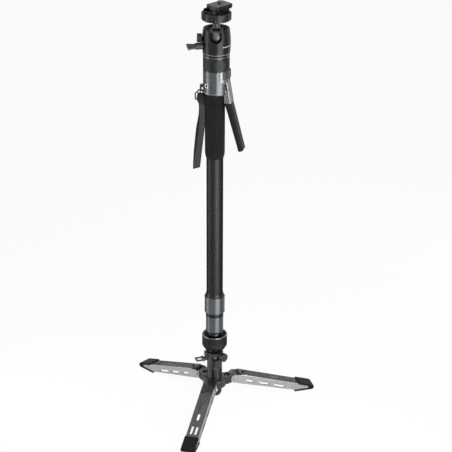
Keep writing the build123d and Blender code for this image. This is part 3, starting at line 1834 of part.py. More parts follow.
# Ribbed ring that drives the jaw
ring_bottom = core_bottom
ring_top = clamp_body_bottom - piece_gap
with BuildPart() as clamp_ring:
    with BuildSketch(clamp_level(ring_bottom)):
        Circle(clamp_ring_radius)
    extrude(amount=ring_top - ring_bottom)
    chamfer(clamp_ring.edges(), clamp_ring_bevel)
    with BuildSketch(clamp_level(ring_bottom)):
        Circle(clamp_core_radius + running_fit)
    extrude(amount=clamp_ring_height, mode=Mode.SUBTRACT)
    with BuildSketch(clamp_level(ring_bottom)):
        with PolarLocations(clamp_ring_radius, clamp_ring_rib_count):
            Rectangle(2 * clamp_ring_rib_depth, clamp_ring_rib_width)
    extrude(amount=clamp_ring_height, mode=Mode.SUBTRACT)
save(clamp_ring.part, "clamp_ring")

# Quick release plate with a dovetail foot and grooved sides
plate_under = clamp_body_top + piece_gap
plate_middle = (plate_under + plate_top) / 2
screw_head_top = plate_bottom + camera_screw_sink + camera_screw_head_height
with BuildPart() as quick_plate:
    with BuildSketch(clamp_level(plate_under, plate_shift)):
        RectangleRounded(plate_length, plate_width, plate_corner)
    extrude(amount=plate_top - plate_under)
    chamfer(quick_plate.edges().group_by(Axis.Z)[-1], plate_groove)
    extrude(
        dovetail(plate_shift - plate_length / 2, 0, plate_bottom, plate_under),
        amount=plate_length,
    )
    for groove_side in (-1, 1):
        with BuildSketch(clamp_end(-plate_length)):
            with Locations((groove_side * plate_width / 2, plate_middle)):
                Rectangle(2 * plate_groove, 2 * plate_groove)
        extrude(amount=2 * plate_length, mode=Mode.SUBTRACT)
    with BuildSketch(clamp_level(plate_bottom, plate_shift)):
        Circle(camera_screw_head_radius + piece_gap)
    extrude(amount=screw_head_top + piece_gap - plate_bottom, mode=Mode.SUBTRACT)
    with BuildSketch(clamp_level(plate_bottom, plate_shift)):
        Circle(camera_screw_neck_radius + running_fit)
    extrude(amount=2 * plate_height, mode=Mode.SUBTRACT)
    with BuildSketch(clamp_level(plate_top, plate_shift)):
        Circle(camera_screw_radius + piece_gap)
    extrude(amount=-camera_screw_relief, mode=Mode.SUBTRACT)
    with BuildSketch(clamp_level(plate_top, plate_shift)):
        with Locations((camera_pin_place, 0)):
            Circle(camera_pin_radius + running_fit)
    extrude(amount=-camera_pin_travel - camera_pin_sink - piece_gap, mode=Mode.SUBTRACT)
save(quick_plate.part, "quick_release_plate")

with BuildPart() as camera_screw:
    with BuildSketch(clamp_level(plate_bottom + camera_screw_sink, plate_shift)):
        Circle(camera_screw_head_radius)
        Rectangle(camera_screw_head_radius, camera_screw_slot, mode=Mode.SUBTRACT)
    extrude(amount=camera_screw_head_height)
    with BuildSketch(clamp_level(screw_head_top - camera_screw_head_height / 2, plate_shift)):
        Circle(camera_screw_neck_radius)
    extrude(amount=plate_top + camera_screw_relief - screw_head_top + camera_screw_head_height / 2)
    with BuildSketch(clamp_level(plate_top + camera_screw_relief, plate_shift)):
        Circle(camera_screw_radius)
    extrude(amount=camera_screw_length - camera_screw_relief)
    chamfer(camera_screw.edges().group_by(Axis.Z)[-1], camera_screw_bevel)
save(camera_screw.part, "camera_screw")

with BuildPart() as camera_pin:
    with BuildSketch(clamp_level(plate_top - camera_pin_sink, plate_shift)):
        with Locations((camera_pin_place, 0)):
            Circle(camera_pin_radius)
    extrude(amount=camera_pin_sink + camera_pin_height)
    chamfer(camera_pin.edges().group_by(Axis.Z)[-1], camera_screw_bevel)
save(camera_pin.part, "camera_pin")
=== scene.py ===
import json
from math import asin, cos, degrees, pi, radians, sin, sqrt

import bmesh
import bpy
from mathutils import Matrix, Vector


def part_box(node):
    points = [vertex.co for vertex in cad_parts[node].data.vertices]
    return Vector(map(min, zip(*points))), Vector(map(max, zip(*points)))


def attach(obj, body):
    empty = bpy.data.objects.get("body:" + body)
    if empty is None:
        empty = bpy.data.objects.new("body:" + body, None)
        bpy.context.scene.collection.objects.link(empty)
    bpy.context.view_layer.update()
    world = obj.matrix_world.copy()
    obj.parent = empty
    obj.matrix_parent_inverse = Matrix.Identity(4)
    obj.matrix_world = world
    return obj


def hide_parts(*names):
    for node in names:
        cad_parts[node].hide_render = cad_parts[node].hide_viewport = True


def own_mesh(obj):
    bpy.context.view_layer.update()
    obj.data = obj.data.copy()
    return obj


# A camera monopod on its folding base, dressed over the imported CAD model.
# The frame is in metres: +Z up along the tube, +X towards the squeeze lever.
# Sizes and places of pieces are in millimetres, and azimuths in degrees from +X.

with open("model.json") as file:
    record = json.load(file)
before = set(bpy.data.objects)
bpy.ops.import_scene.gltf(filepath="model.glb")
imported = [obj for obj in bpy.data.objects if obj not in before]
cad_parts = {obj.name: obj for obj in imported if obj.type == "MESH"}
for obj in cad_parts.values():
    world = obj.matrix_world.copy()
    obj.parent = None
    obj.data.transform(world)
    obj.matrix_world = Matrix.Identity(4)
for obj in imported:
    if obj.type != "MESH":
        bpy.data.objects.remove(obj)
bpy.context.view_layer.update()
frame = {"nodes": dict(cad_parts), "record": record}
nodes = frame["nodes"]
owner = {n: b for b, ns in frame["record"]["behaviour"]["bodies"].items() for n in ns}
slot_of = {s["node"]: s["material_slot"] for s in frame["record"]["subparts"]}

MM = 0.001
HEAD_X = 2.6
LEGS = (1, 2, 3)
TURN_STEPS = 128
SHARP_ANGLE = 32.0
FLAT_ANGLE = 0.8
WELD = 2e-6
SEAM = 1e-7
WHITE = (1, 1, 1, 1)


def low(node):
    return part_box(node)[0].z / MM


def high(node):
    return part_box(node)[1].z / MM


def girth(node):
    """The outer radius of a round node."""
    first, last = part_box(node)
    return (last.x - first.x) / 2 / MM


# Materials
MATERIALS = {}


def shader(name):
    """A new material: its node tree and its Principled shader."""
    material = bpy.data.materials.new(name)
    material.use_nodes = True
    MATERIALS[name] = material
    tree = material.node_tree
    return tree, tree.nodes["Principled BSDF"]


def fill(tree, node, values):
    """Sets a node's inputs, by a link where a value is another node's output."""
    for key, value in values.items():
        if isinstance(value, bpy.types.NodeSocket):
            tree.links.new(value, node.inputs[key])
        else:
            node.inputs[key].default_value = value


def add(tree, kind, values=None, **settings):
    node = tree.nodes.new(kind)
    for key, value in settings.items():
        setattr(node, key, value)
    fill(tree, node, values or {})
    return node


def maths(tree, operation, a, b=0.0, c=None):
    values = {0: a, 1: b}
    if c is not None:
        values[2] = c
    return add(tree, "ShaderNodeMath", values, operation=operation).outputs[0]


def place(tree, scale=(1, 1, 1)):
    """The object's own coordinates in metres, stretched by a scale."""
    coords = add(tree, "ShaderNodeTexCoord").outputs["Object"]
    return add(tree, "ShaderNodeMapping", {"Vector": coords, "Scale": scale}).outputs[0]


def split_place(tree):
    """The object's own x, y and z."""
    coords = add(tree, "ShaderNodeTexCoord").outputs["Object"]
    return add(tree, "ShaderNodeSeparateXYZ", {0: coords}).outputs


def noise(tree, scale, detail=3.0, rough=0.5, stretch=(1, 1, 1)):
    values = {"Vector": place(tree, stretch), "Scale": scale, "Detail": detail, "Roughness": rough}
    return add(tree, "ShaderNodeTexNoise", values).outputs["Fac"]


def blend_colours(tree, share, first, second):
    values = {"Factor": share, "A": first, "B": second}
    return add(tree, "ShaderNodeMix", values, data_type="RGBA").outputs["Result"]


def ramp(tree, value, low_value, high_value, low_at=0.3, high_at=0.7):
    """A value spread between two numbers or two colours."""
    values = {"Value": value, "From Min": low_at, "From Max": high_at}
    spread = add(tree, "ShaderNodeMapRange", values)
    if isinstance(low_value, tuple):
        return blend_colours(tree, spread.outputs["Result"], (*low_value, 1), (*high_value, 1))
    fill(tree, spread, {"To Min": low_value, "To Max": high_value})
    return spread.outputs["Result"]


def bump(tree, principled, height, distance):
    """A relief of the given depth in metres."""
    node = add(tree, "ShaderNodeBump", {"Height": height, "Distance": distance})
    tree.links.new(node.outputs[0], principled.inputs["Normal"])


def turned_shine(tree, principled, amount):
    """Stretches highlights up and down, as fine turning lines round the tube do."""
    around = add(tree, "ShaderNodeTangent", direction_type="RADIAL", axis="Z").outputs[0]
    values = {"Anisotropic": amount, "Anisotropic Rotation": 0.25, "Tangent": around}
    fill(tree, principled, values)


def grey(value, blue=1.04):
    return (value, value * (1 + (blue - 1) / 2), value * blue)


def surface(
    name, dark, light, metallic, rough, grain, grain_depth,
    stretch=(1, 1, 1), blotch=90.0, specular=0.5, edge_tint=1.0, shine=0.0,
):
    """Mottled colour, roughness between two values, and a fine grain in relief.
    Grain and blotch are per metre, and the grain's depth is in metres."""
    tree, principled = shader(name)
    broad = noise(tree, blotch, detail=4.0, rough=0.6, stretch=stretch)
    fine = noise(tree, grain, detail=2.0, rough=0.6, stretch=stretch)
    fill(tree, principled, {
        "Base Color": ramp(tree, broad, dark, light),
        "Roughness": ramp(tree, fine, *rough),
        "Metallic": metallic,
        "Specular IOR Level": specular,
        "Specular Tint": (edge_tint, edge_tint, edge_tint, 1),
    })
    if shine:
        turned_shine(tree, principled, shine)
    bump(tree, principled, fine, grain_depth)
    return tree, principled


surface("cast_black", grey(0.006), grey(0.012), 0.0, (0.28, 0.40), 900.0, 0.00006, specular=0.55)
surface(
    "anodised_black", grey(0.022), grey(0.030), 1.0, (0.32, 0.40), 1600.0, 0.00002,
    edge_tint=0.6, shine=0.85,
)
surface(
    "anodised_grey", grey(0.095, 1.10), grey(0.120, 1.10), 1.0, (0.36, 0.42), 900.0, 0.00002,
    stretch=(1, 1, 8), edge_tint=0.5, shine=0.9,
)
surface(
    "brushed_grey", grey(0.13, 1.08), grey(0.22, 1.08), 1.0, (0.30, 0.42), 1200.0, 0.00002,
    blotch=260.0, edge_tint=0.5,
)
surface("hub_grey", grey(0.036, 1.1), grey(0.046, 1.1), 1.0, (0.24, 0.30), 900.0, 0.00001)
# Paler grey for the plate's upward faces: a painted highlight of the bright room above.
surface("painted_light_plate_top", grey(0.13), grey(0.22), 0.0, (0.55, 0.7), 700.0, 0.00006, specular=0.3)
# Lighter metals for chamfers, bars and rims: painted highlights, with some edge wear.
surface("bright_edge_painted_highlight", grey(0.19), grey(0.25), 1.0, (0.30, 0.40), 1500.0, 0.00001)
surface("soft_edge_painted_highlight", grey(0.10), grey(0.16), 1.0, (0.32, 0.42), 1500.0, 0.00001)
surface("rim_edge_painted_highlight", grey(0.11), grey(0.15), 1.0, (0.24, 0.30), 1500.0, 0.00001)
surface("dark_steel", grey(0.06), grey(0.10), 1.0, (0.26, 0.34), 1300.0, 0.00002)
surface("steel", grey(0.34, 1.02), grey(0.44, 1.02), 1.0, (0.22, 0.34), 1300.0, 0.00002)
surface("wire", grey(0.30), grey(0.40), 1.0, (0.18, 0.28), 900.0, 0.00001)
surface("knob_black", grey(0.010), grey(0.017), 0.0, (0.40, 0.54), 1100.0, 0.00005, specular=0.4)
surface(
    "ball_chrome", grey(0.080), grey(0.110), 1.0, (0.38, 0.44), 1000.0, 0.000002, edge_tint=0.5
)
# Pale grey for the inside of the lock ring: painted light on its inner wall.
surface("cup_inside_painted_light", grey(0.13), grey(0.18), 0.0, (0.30, 0.40), 1000.0, 0.00001)
surface("guide_plastic", grey(0.04), grey(0.05), 0.0, (0.40, 0.50), 800.0, 0.00003)
surface("rubber", grey(0.0030), grey(0.0055), 0.0, (0.50, 0.68), 1500.0, 0.00008, specular=0.12)
surface("pale_mark", grey(0.34), grey(0.44), 0.0, (0.5, 0.6), 1500.0, 0.00001)


def leg_silver():
    """Brushed sheet: pale sides, and on the face that turns upward a darker mottled tone, whose
    darkness is painted shade and whose mottling is random tone.
    """
    tree, principled = surface(
        "leg_silver", grey(0.34, 1.03), grey(0.42, 1.03), 1.0, (0.32, 0.44), 1500.0, 0.00002,
        edge_tint=0.6,
    )
    pale = principled.inputs["Base Color"].links[0].from_socket
    spots = noise(tree, 420.0, detail=5.0, rough=0.7)
    top_painted_shade = ramp(
        tree, spots, grey(0.060, 1.06), grey(0.15, 1.06), low_at=0.38, high_at=0.64
    )
    # Faces that turn upward are blended towards the darker tone: painted shade, where little light
    # falls from above.
    normal = add(tree, "ShaderNodeTexCoord").outputs["Normal"]
    upward = add(tree, "ShaderNodeSeparateXYZ", {0: normal}).outputs[2]
    share = ramp(tree, upward, 0.0, 1.0, low_at=0.72, high_at=0.86)
    fill(tree, principled, {"Base Color": blend_colours(tree, share, pale, top_painted_shade)})


def foam():
    """Closed-cell foam: matte, with fine pores."""
    tree, principled = shader("foam")
    values = {"Vector": place(tree), "Scale": 1300.0}
    cells = add(tree, "ShaderNodeTexVoronoi", values, feature="F1").outputs["Distance"]
    broad = noise(tree, 60.0, detail=3.0, rough=0.6)
    fill(tree, principled, {
        "Base Color": ramp(tree, broad, grey(0.0044), grey(0.0068)),
        "Roughness": ramp(tree, cells, 0.72, 0.9),
        "Specular IOR Level": 0.12,
    })
    bump(tree, principled, cells, 0.00012)


def carbon():
    """Two-by-two twill wound round the tube, under a clear gloss."""
    tree, principled = shader("carbon")
    x, y, z = split_place(tree)
    tow = 1.5 * MM
    tows_round = 64
    around = maths(tree, "MULTIPLY", maths(tree, "ARCTAN2", y, x), tows_round / (2 * pi))
    along = maths(tree, "DIVIDE", z, tow)
    row_and_column = maths(
        tree, "SUBTRACT", maths(tree, "FLOOR", along), maths(tree, "FLOOR", around)
    )
    step = maths(tree, "FLOORED_MODULO", row_and_column, 4.0)
    warp = maths(tree, "LESS_THAN", step, 1.5)
    across_warp = maths(tree, "SINE", maths(tree, "MULTIPLY", maths(tree, "FRACT", around), pi))
    across_weft = maths(tree, "SINE", maths(tree, "MULTIPLY", maths(tree, "FRACT", along), pi))
    values = {"Factor": warp, "A": across_weft, "B": across_warp}
    crown = add(tree, "ShaderNodeMix", values, data_type="FLOAT").outputs[0]
    fibre = noise(tree, 2400.0, detail=2.0, rough=0.6)
    shade = maths(tree, "MULTIPLY_ADD", fibre, 0.25, warp)
    fill(tree, principled, {
        "Base Color": ramp(tree, shade, grey(0.010, 1.02), grey(0.042, 1.02), 0.0, 1.2),
        "Roughness": ramp(tree, warp, 0.26, 0.42, 0.0, 1.0),
        "Metallic": 1.0,
        "Specular Tint": (0.35, 0.35, 0.35, 1),
    })
    turned_shine(tree, principled, 0.6)
    bump(tree, principled, crown, 0.00008)


def webbing(name, dark, light):
    """Woven nylon: fine ribs along and across the strap."""
    tree, principled = shader(name)
    x, y, z = split_place(tree)
    pick = 1.1 * MM
    ribs_along = maths(tree, "SINE", maths(tree, "MULTIPLY", z, 2 * pi / pick))
    ribs_across = maths(tree, "SINE", maths(tree, "MULTIPLY", x, 2 * pi / pick))
    weave = maths(tree, "MULTIPLY", ribs_along, ribs_across)
    fluff = noise(tree, 1500.0, detail=3.0, rough=0.7)
    shade = maths(tree, "MULTIPLY_ADD", weave, 0.2, fluff)
    fill(tree, principled, {
        "Base Color": ramp(tree, shade, dark, light),
        "Roughness": 0.8,
        "Specular IOR Level": 0.2,
        "Sheen Weight": 0.12,
    })
    bump(tree, principled, weave, 0.00018)


leg_silver()
foam()
carbon()
webbing("webbing", grey(0.020), grey(0.036))
# The same webbing far darker: painted shade for the back of the loop and where it runs under the
# clip.
webbing("webbing_painted_shade", grey(0.004), grey(0.007))


# Making and placing pieces
done = set()


def smooth(obj):
    obj.data.shade_smooth()
    obj.data.set_sharp_from_angle(angle=radians(SHARP_ANGLE))


def object_of(mesh, name):
    obj = bpy.data.objects.new(name, mesh)
    bpy.context.scene.collection.objects.link(obj)
    return obj


def object_from(bm, name):
    bmesh.ops.recalc_face_normals(bm, faces=bm.faces)
    mesh = bpy.data.meshes.new(name)
    bm.to_mesh(mesh)
    bm.free()
    return object_of(mesh, name)


def stand_for(obj, node, material=None, bevel=0.0, segments=2, edge=None):
    """Finishes a piece, with softened edges where it has a bevel, and gives it a node's place."""
    obj.data.materials.clear()
    obj.data.materials.append(MATERIALS[material or slot_of[node]])
    smooth(obj)
    if bevel:
        modifier = obj.modifiers.new("edges", "BEVEL")
        modifier.width = bevel * MM
        modifier.segments = segments
        modifier.limit_method = "ANGLE"
        modifier.angle_limit = radians(SHARP_ANGLE)
        modifier.use_clamp_overlap = True
        modifier.harden_normals = True
        # The bevel's faces take the edge material: lighter chamfers, a painted highlight with some
        # edge wear.
        if edge:
            obj.data.materials.append(MATERIALS[edge])
            modifier.material = 1
    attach(obj, owner[node])
    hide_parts(node)
    done.add(node)
    return obj


def copied(node, bevel=0.3, segments=2, material=None, edge=None):
    """A CAD node's form with softened edges."""
    mesh = nodes[node].data.copy()
    bm = bmesh.new()
    bm.from_mesh(mesh)
    bmesh.ops.remove_doubles(bm, verts=bm.verts, dist=WELD)
    bmesh.ops.dissolve_limit(
        bm, angle_limit=radians(FLAT_ANGLE), verts=bm.verts, edges=bm.edges,
        use_dissolve_boundaries=False,
    )
    bm.to_mesh(mesh)
    bm.free()
    return stand_for(object_of(mesh, f"{node}_piece"), node, material, bevel, segments, edge)


def turned(node, outline, material=None, segments=TURN_STEPS, centre_x=0.0, ripple=None):
    """A closed outline of (radius, height) points turned about an upright axis.
    ripple(radius, height, angle) may change the radius, for ribs and knurls."""
    bm = bmesh.new()
    rings = []
    for step in range(segments):
        a = 2 * pi * step / segments
        ring = []
        for radius, height in outline:
            r = radius if ripple is None else ripple(radius, height, a)
            ring.append(bm.verts.new(Vector((centre_x + r * cos(a), r * sin(a), height)) * MM))
        rings.append(ring)
    count = len(outline)
    for step in range(segments):
        here, there = rings[step], rings[(step + 1) % segments]
        for i in range(count):
            j = (i + 1) % count
            if outline[i][0] == 0 and outline[j][0] == 0:
                continue
            bm.faces.new((here[i], there[i], there[j], here[j]))
    bmesh.ops.remove_doubles(bm, verts=bm.verts, dist=SEAM)
    bmesh.ops.dissolve_degenerate(bm, edges=bm.edges, dist=SEAM)
    return stand_for(object_from(bm, f"{node}_piece"), node, material)


def rising(face, bottom, places):
    """Outline points from places (in from the face, up from the bottom)."""
    return [(face - inward, bottom + up) for inward, up in places]


def falling(face, top, places):
    """Outline points from places (in from the face, down from the top)."""
    return [(face - inward, top - down) for inward, down in places]


def arc(cx, cz, radius, start, end, count):
    """Points of an arc in an outline, angles in degrees from the outward direction."""
    step = (end - start) / (count - 1)
    return [
        (cx + radius * cos(radians(start + i * step)), cz + radius * sin(radians(start + i * step)))
        for i in range(count)
    ]


RIB_REACH = 0.05


def ribs(bottom, top, face, count, depth, sharpness):
    """A ripple that sinks grooves into the outside of a band."""

    def ripple(radius, height, angle):
        if radius < face - RIB_REACH or not bottom <= height <= top:
            return radius
        wave = 0.5 + 0.5 * cos(count * angle)
        return radius - depth * wave**sharpness

    return ripple


def give_faces(piece, material, chosen):
    """Gives the chosen faces of a piece a material of their own."""
    piece.data.materials.append(MATERIALS[material])
    index = len(piece.data.materials) - 1
    for polygon in piece.data.polygons:
        if chosen(polygon):
            polygon.material_index = index


def radius_of(polygon):
    """A face's distance from the tube's axis."""
    return sqrt(polygon.center.x**2 + polygon.center.y**2) / MM


def height_of(polygon):
    return polygon.center.z / MM


# Tubes
TUBE_EDGE = 0.3
TUBE_WALLS = {"upper_tube": 1.6, "middle_tube": 1.5, "lower_tube": 1.5}
for node, wall in TUBE_WALLS.items():
    bottom, top, outside = low(node), high(node), girth(node)
    inside = outside - wall
    turned(node, [
        (inside, bottom + TUBE_EDGE), (inside + TUBE_EDGE, bottom), (outside - TUBE_EDGE, bottom),
        (outside, bottom + TUBE_EDGE), (outside, top - TUBE_EDGE), (outside - TUBE_EDGE, top),
        (inside + TUBE_EDGE, top), (inside, top - TUBE_EDGE),
    ])

UPPER = girth("upper_tube")
MIDDLE = girth("middle_tube")
LOWER = girth("lower_tube")

# Foam grip: soft rounded ends, a barely swollen middle and a taper at the bottom
FOAM_TAPER = 17.2
FOAM_END = 1.2
FOAM_TOP_IN = 1.3
FOAM_SHOULDER = (0.75, 4.8)
FOAM_SWELL = ((0.3, 7.5), (0.12, 10.0), (0.05, 15.0), (0.0, 50.0))
FOAM_NARROWING = ((0.0, 20.0), (0.05, 5.0))
bottom, top, face = low("foam_grip"), high("foam_grip"), girth("foam_grip")
turned(
    "foam_grip",
    [(UPPER, bottom)]
    + arc(FOAM_TAPER - FOAM_END, bottom + FOAM_END, FOAM_END, -90, -10, 6)
    + [(FOAM_TAPER + FOAM_SHOULDER[0], bottom + FOAM_SHOULDER[1])]
    + rising(face, bottom, FOAM_SWELL)
    + falling(face, top, FOAM_NARROWING)
    + arc(face - FOAM_TOP_IN, top - FOAM_END, FOAM_END, 10, 90, 6)
    + [(UPPER, top)],
)

# Lock collars
COLLAR_FOOT = ((1.0, 0.0), (0.75, 0.12), (0.1, 0.85), (0.0, 1.1))
COLLAR_HEAD = ((0.0, 0.7), (0.12, 0.4), (0.5, 0.0))
FLAT_BELOW, FLAT_ABOVE = 2.6, 2.4
FLAT_MARGIN = 0.3
FLAT_DEPTH = 0.3
FLAT_AZIMUTH = -42.0
FLAT_SPAN = 88.0
FLAT_EASE = 3.0
FLAT_REPEAT = 180.0
GROOVE_PITCH = 1.5
GROOVE_DEPTH = 0.22
GROOVE_START = 0.05
GROOVE_SHARES = (0.5, 0.75)
COLLAR_STEPS = 180


def collar(node, tube_radius):
    """A turned lock collar: plain fronts, and finely grooved flats between them."""
    bottom, top, face = low(node), high(node), girth(node)
    start, end = bottom + FLAT_BELOW, top - FLAT_ABOVE
    count = round((end - start) / GROOVE_PITCH)
    pitch = (end - start) / count
    outline = [(tube_radius, bottom)] + rising(face, bottom, COLLAR_FOOT)
    outline.append((face, start - FLAT_MARGIN))
    for i in range(count):
        at = start + i * pitch
        outline.append((face, at + GROOVE_START))
        outline += [(face, at + share * pitch) for share in GROOVE_SHARES]
    outline += [(face, end), (face, end + FLAT_MARGIN)]
    outline += falling(face, top, COLLAR_HEAD) + [(tube_radius, top)]

    def ripple(radius, height, angle):
        turn = (degrees(angle) - FLAT_AZIMUTH) % FLAT_REPEAT
        if radius < face - RIB_REACH or not start < height < end or not 0 < turn < FLAT_SPAN:
            return radius
        share = min(1.0, min(turn, FLAT_SPAN - turn) / FLAT_EASE)
        along = ((height - start) / pitch) % 1.0
        in_groove = abs(along - GROOVE_SHARES[1]) < GROOVE_START
        return radius - share * (FLAT_DEPTH + (GROOVE_DEPTH if in_groove else 0.0))

    turned(node, outline, segments=COLLAR_STEPS, ripple=ripple)


collar("lower_collar", MIDDLE)
collar("upper_collar", UPPER)

# Bands over the collars
BAND_CHAMFER = 0.4
SHOULDER_SHARES = (0.35, 0.85)
SHOULDER_RUN = 1.2
SHOULDER_ROUND = 0.6


def band(node, tube_radius, shoulder, lip):
    """The dark ring above a collar: a short band, then a shoulder that runs in to the tube."""
    bottom, top, face = low(node), high(node), girth(node)
    turned(node, [
        (tube_radius, bottom), (face - BAND_CHAMFER, bottom), (face, bottom + BAND_CHAMFER),
        (face, bottom + lip), (face - SHOULDER_SHARES[0] * shoulder, bottom + lip + SHOULDER_RUN),
        (face - SHOULDER_SHARES[1] * shoulder, top - SHOULDER_ROUND), (face - shoulder, top),
        (tube_radius, top),
    ])


band("lower_collar_band", MIDDLE, shoulder=1.0, lip=6.0)
band("upper_collar_band", UPPER, shoulder=2.6, lip=1.2)

# Lock ring: a knurled band between two plain rims, hollow at the top
CUP_WALL = 2.6
CUP_HOLE = 13.65
CUP_FLOOR = 4.0
CUP_FLOOR_ROUND = (0.5, 0.6)
CUP_CONE = ((2.8, 0.0), (0.25, 4.1), (0.0, 4.7))
CUP_RIM = ((0.0, 1.5), (0.15, 0.7), (0.65, 0.1), (1.1, 0.0), (2.0, 0.1))
CUP_RIM_INSIDE = ((CUP_WALL - 0.1, 0.7), (CUP_WALL, 1.4))
CUP_RIM_DEPTH = 1.9
CUP_RIM_ROOM = 0.1
CUP_INSIDE_ROOM = 0.3
CUP_KNURL_BELOW, CUP_KNURL_ABOVE = 6.4, 4.1
CUP_STEPS = 360
KNURL_RUN = 0.2


def knurl_edges(face, start, end):
    """Where a knurled band's plain rims end and its grooves begin."""
    return [(face, at + run) for at in (start, end) for run in (-KNURL_RUN, KNURL_RUN)]


bottom, top, face = low("cup_lock_ring"), high("cup_lock_ring"), girth("cup_lock_ring")
start, end = bottom + CUP_KNURL_BELOW, top - CUP_KNURL_ABOVE
piece = turned(
    "cup_lock_ring",
    [(CUP_HOLE, bottom)]
    + rising(face, bottom, CUP_CONE)
    + knurl_edges(face, start, end)
    + falling(face, top, CUP_RIM + CUP_RIM_INSIDE)
    + [(face - CUP_WALL, bottom + CUP_FLOOR + CUP_FLOOR_ROUND[1])]
    + [(face - CUP_WALL - CUP_FLOOR_ROUND[0], bottom + CUP_FLOOR), (CUP_HOLE, bottom + CUP_FLOOR)],
    material="anodised_black",
    segments=CUP_STEPS,
    ripple=ribs(start, end, face, count=60, depth=0.45, sharpness=0.7),
)
rim_inside = face - CUP_WALL - CUP_RIM_ROOM
rim_bottom = top - CUP_RIM_DEPTH
wall_inside = face - CUP_WALL + CUP_INSIDE_ROOM
# The top rim's faces take a lighter metal: a painted highlight along the lip.
give_faces(
    piece, "rim_edge_painted_highlight",
    lambda polygon: height_of(polygon) > rim_bottom and radius_of(polygon) > rim_inside,
)
# The inside of the cup takes a pale grey: painted light on its inner wall.
give_faces(
    piece, "cup_inside_painted_light",
    lambda polygon: polygon.material_index == 0 and radius_of(polygon) < wall_inside,
)

# Column foot: the flared flange goes on into the lock ring's cone
FOOT_HUB = 13.6
FOOT_SPIGOT = 4.5
FOOT_FLOOR = 3.0
FOOT_FLANGE = 6.0
FOOT_FILLET = 0.3
FOOT_CONE = ((4.0, 0.0), (3.6, 0.3))
FOOT_RIM = ((0.1, 0.3), (0.1, 0.1), (0.3, 0.0))
FOOT_GROOVE = ((0.0, 4.1), (0.15, 3.8), (0.15, 3.2), (0.0, 2.9), (0.0, 0.4), (0.4, 0.0))
bottom, top, face = low("column_foot"), high("column_foot"), girth("column_foot")
flange_top = bottom + FOOT_FLANGE
turned(
    "column_foot",
    [(FOOT_SPIGOT, bottom)]
    + rising(face, bottom, FOOT_CONE)
    + falling(face, flange_top, FOOT_RIM)
    + [(FOOT_HUB + FOOT_FILLET, flange_top), (FOOT_HUB, flange_top + FOOT_FILLET)]
    + falling(FOOT_HUB, top, FOOT_GROOVE)
    + [(LOWER, top), (LOWER, bottom + FOOT_FLOOR), (FOOT_SPIGOT, bottom + FOOT_FLOOR)],
    material="hub_grey",
)

# Pan base: a grip band of fine ribs
PAN_BASE = 24.75
PAN_HEIGHT = 25.0
PAN_MARGIN = 2.9
HEAD_BOLT = 4.76
PAN_SPIGOT = 14.0
PAN_FOOT = ((0.5, 0.0), (0.15, 0.2), (0.0, 0.6))
PAN_HEAD = ((0.0, 0.9), (0.15, 0.4), (0.5, 0.0))
PAN_SPIGOT_EDGE = ((0.0, 0.3), (0.3, 0.0))
PAN_STEPS = 432
bottom, top = low("pan_base"), high("pan_base")
body_top = bottom + PAN_HEIGHT
start, end = bottom + PAN_MARGIN, body_top - PAN_MARGIN
turned(
    "pan_base",
    [(HEAD_BOLT, bottom)]
    + rising(PAN_BASE, bottom, PAN_FOOT)
    + knurl_edges(PAN_BASE, start, end)
    + falling(PAN_BASE, body_top, PAN_HEAD)
    + [(PAN_SPIGOT, body_top)]
    + falling(PAN_SPIGOT, top, PAN_SPIGOT_EDGE)
    + [(HEAD_BOLT, top)],
    material="anodised_black",
    segments=PAN_STEPS,
    centre_x=HEAD_X,
    ripple=ribs(start, end, PAN_BASE, count=72, depth=0.32, sharpness=0.6),
)

# Ball and neck, with the spigot that the clamp turns on
BALL = 18.2
BALL_ARC_STEPS = 46
NECK = 6.5
NECK_FLARE = 7.6
NECK_FOOT = ((-0.4, 17.9), (0.0, 18.9))
NECK_RING = ((0.0, 1.9), (-0.4, 1.1), (-0.4, 0.3), (-0.1, 0.0))
CLAMP_SPIGOT = 5.0
CLAMP_SPIGOT_LENGTH = 10.0
CLAMP_SPIGOT_EDGE = ((0.0, 0.3), (0.3, 0.0))
PAINTED_SHADE_NECK_START, PAINTED_SHADE_NECK_END = 17.2, 3.5
ball_centre = low("head_ball") + BALL
top = high("head_ball")
neck_top = top - CLAMP_SPIGOT_LENGTH
neck_start = degrees(asin(NECK_FLARE / BALL))
piece = turned(
    "head_ball",
    [(0.0, ball_centre - BALL)]
    + arc(0, ball_centre, BALL, -89, 90 - neck_start, BALL_ARC_STEPS)
    + rising(NECK, ball_centre, NECK_FOOT)
    + falling(NECK, neck_top, NECK_RING)
    + [(CLAMP_SPIGOT, neck_top)]
    + falling(CLAMP_SPIGOT, top, CLAMP_SPIGOT_EDGE)
    + [(0.0, top)],
    centre_x=HEAD_X,
)
# A band of the neck below the clamp is painted black: painted shade under the clamp ring.
shade_from, shade_to = ball_centre + PAINTED_SHADE_NECK_START, neck_top - PAINTED_SHADE_NECK_END
give_faces(piece, "cast_black", lambda polygon: shade_from < height_of(polygon) < shade_to)


# Small marks and lines on round faces
BAR_SINK = 0.15


def bar_round(bm, radius, start, end, bottom, top, rise, steps=1, flare=0.0):
    """A curved bar on a round face: from one azimuth to another, between two heights."""
    rings = []
    for i in range(steps + 1):
        a = radians(start + (end - start) * i / steps)
        rings.append([
            bm.verts.new(Vector((HEAD_X + r * cos(a), r * sin(a), height)) * MM)
            for r, height in (
                (radius - BAR_SINK, bottom), (radius + rise, bottom),
                (radius + rise + flare, top), (radius - BAR_SINK, top),
            )
        ])
    for first, second in zip(rings, rings[1:]):
        for i in range(4):
            j = (i + 1) % 4
            bm.faces.new((first[i], second[i], second[j], first[j]))
    bm.faces.new(rings[0][::-1])
    bm.faces.new(rings[-1])


def add_piece(bm, name, body, material):
    """A piece that stands for no node of its own and rides on a body."""
    obj = object_from(bm, name)
    obj.data.materials.append(MATERIALS[material])
    smooth(obj)
    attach(obj, body)


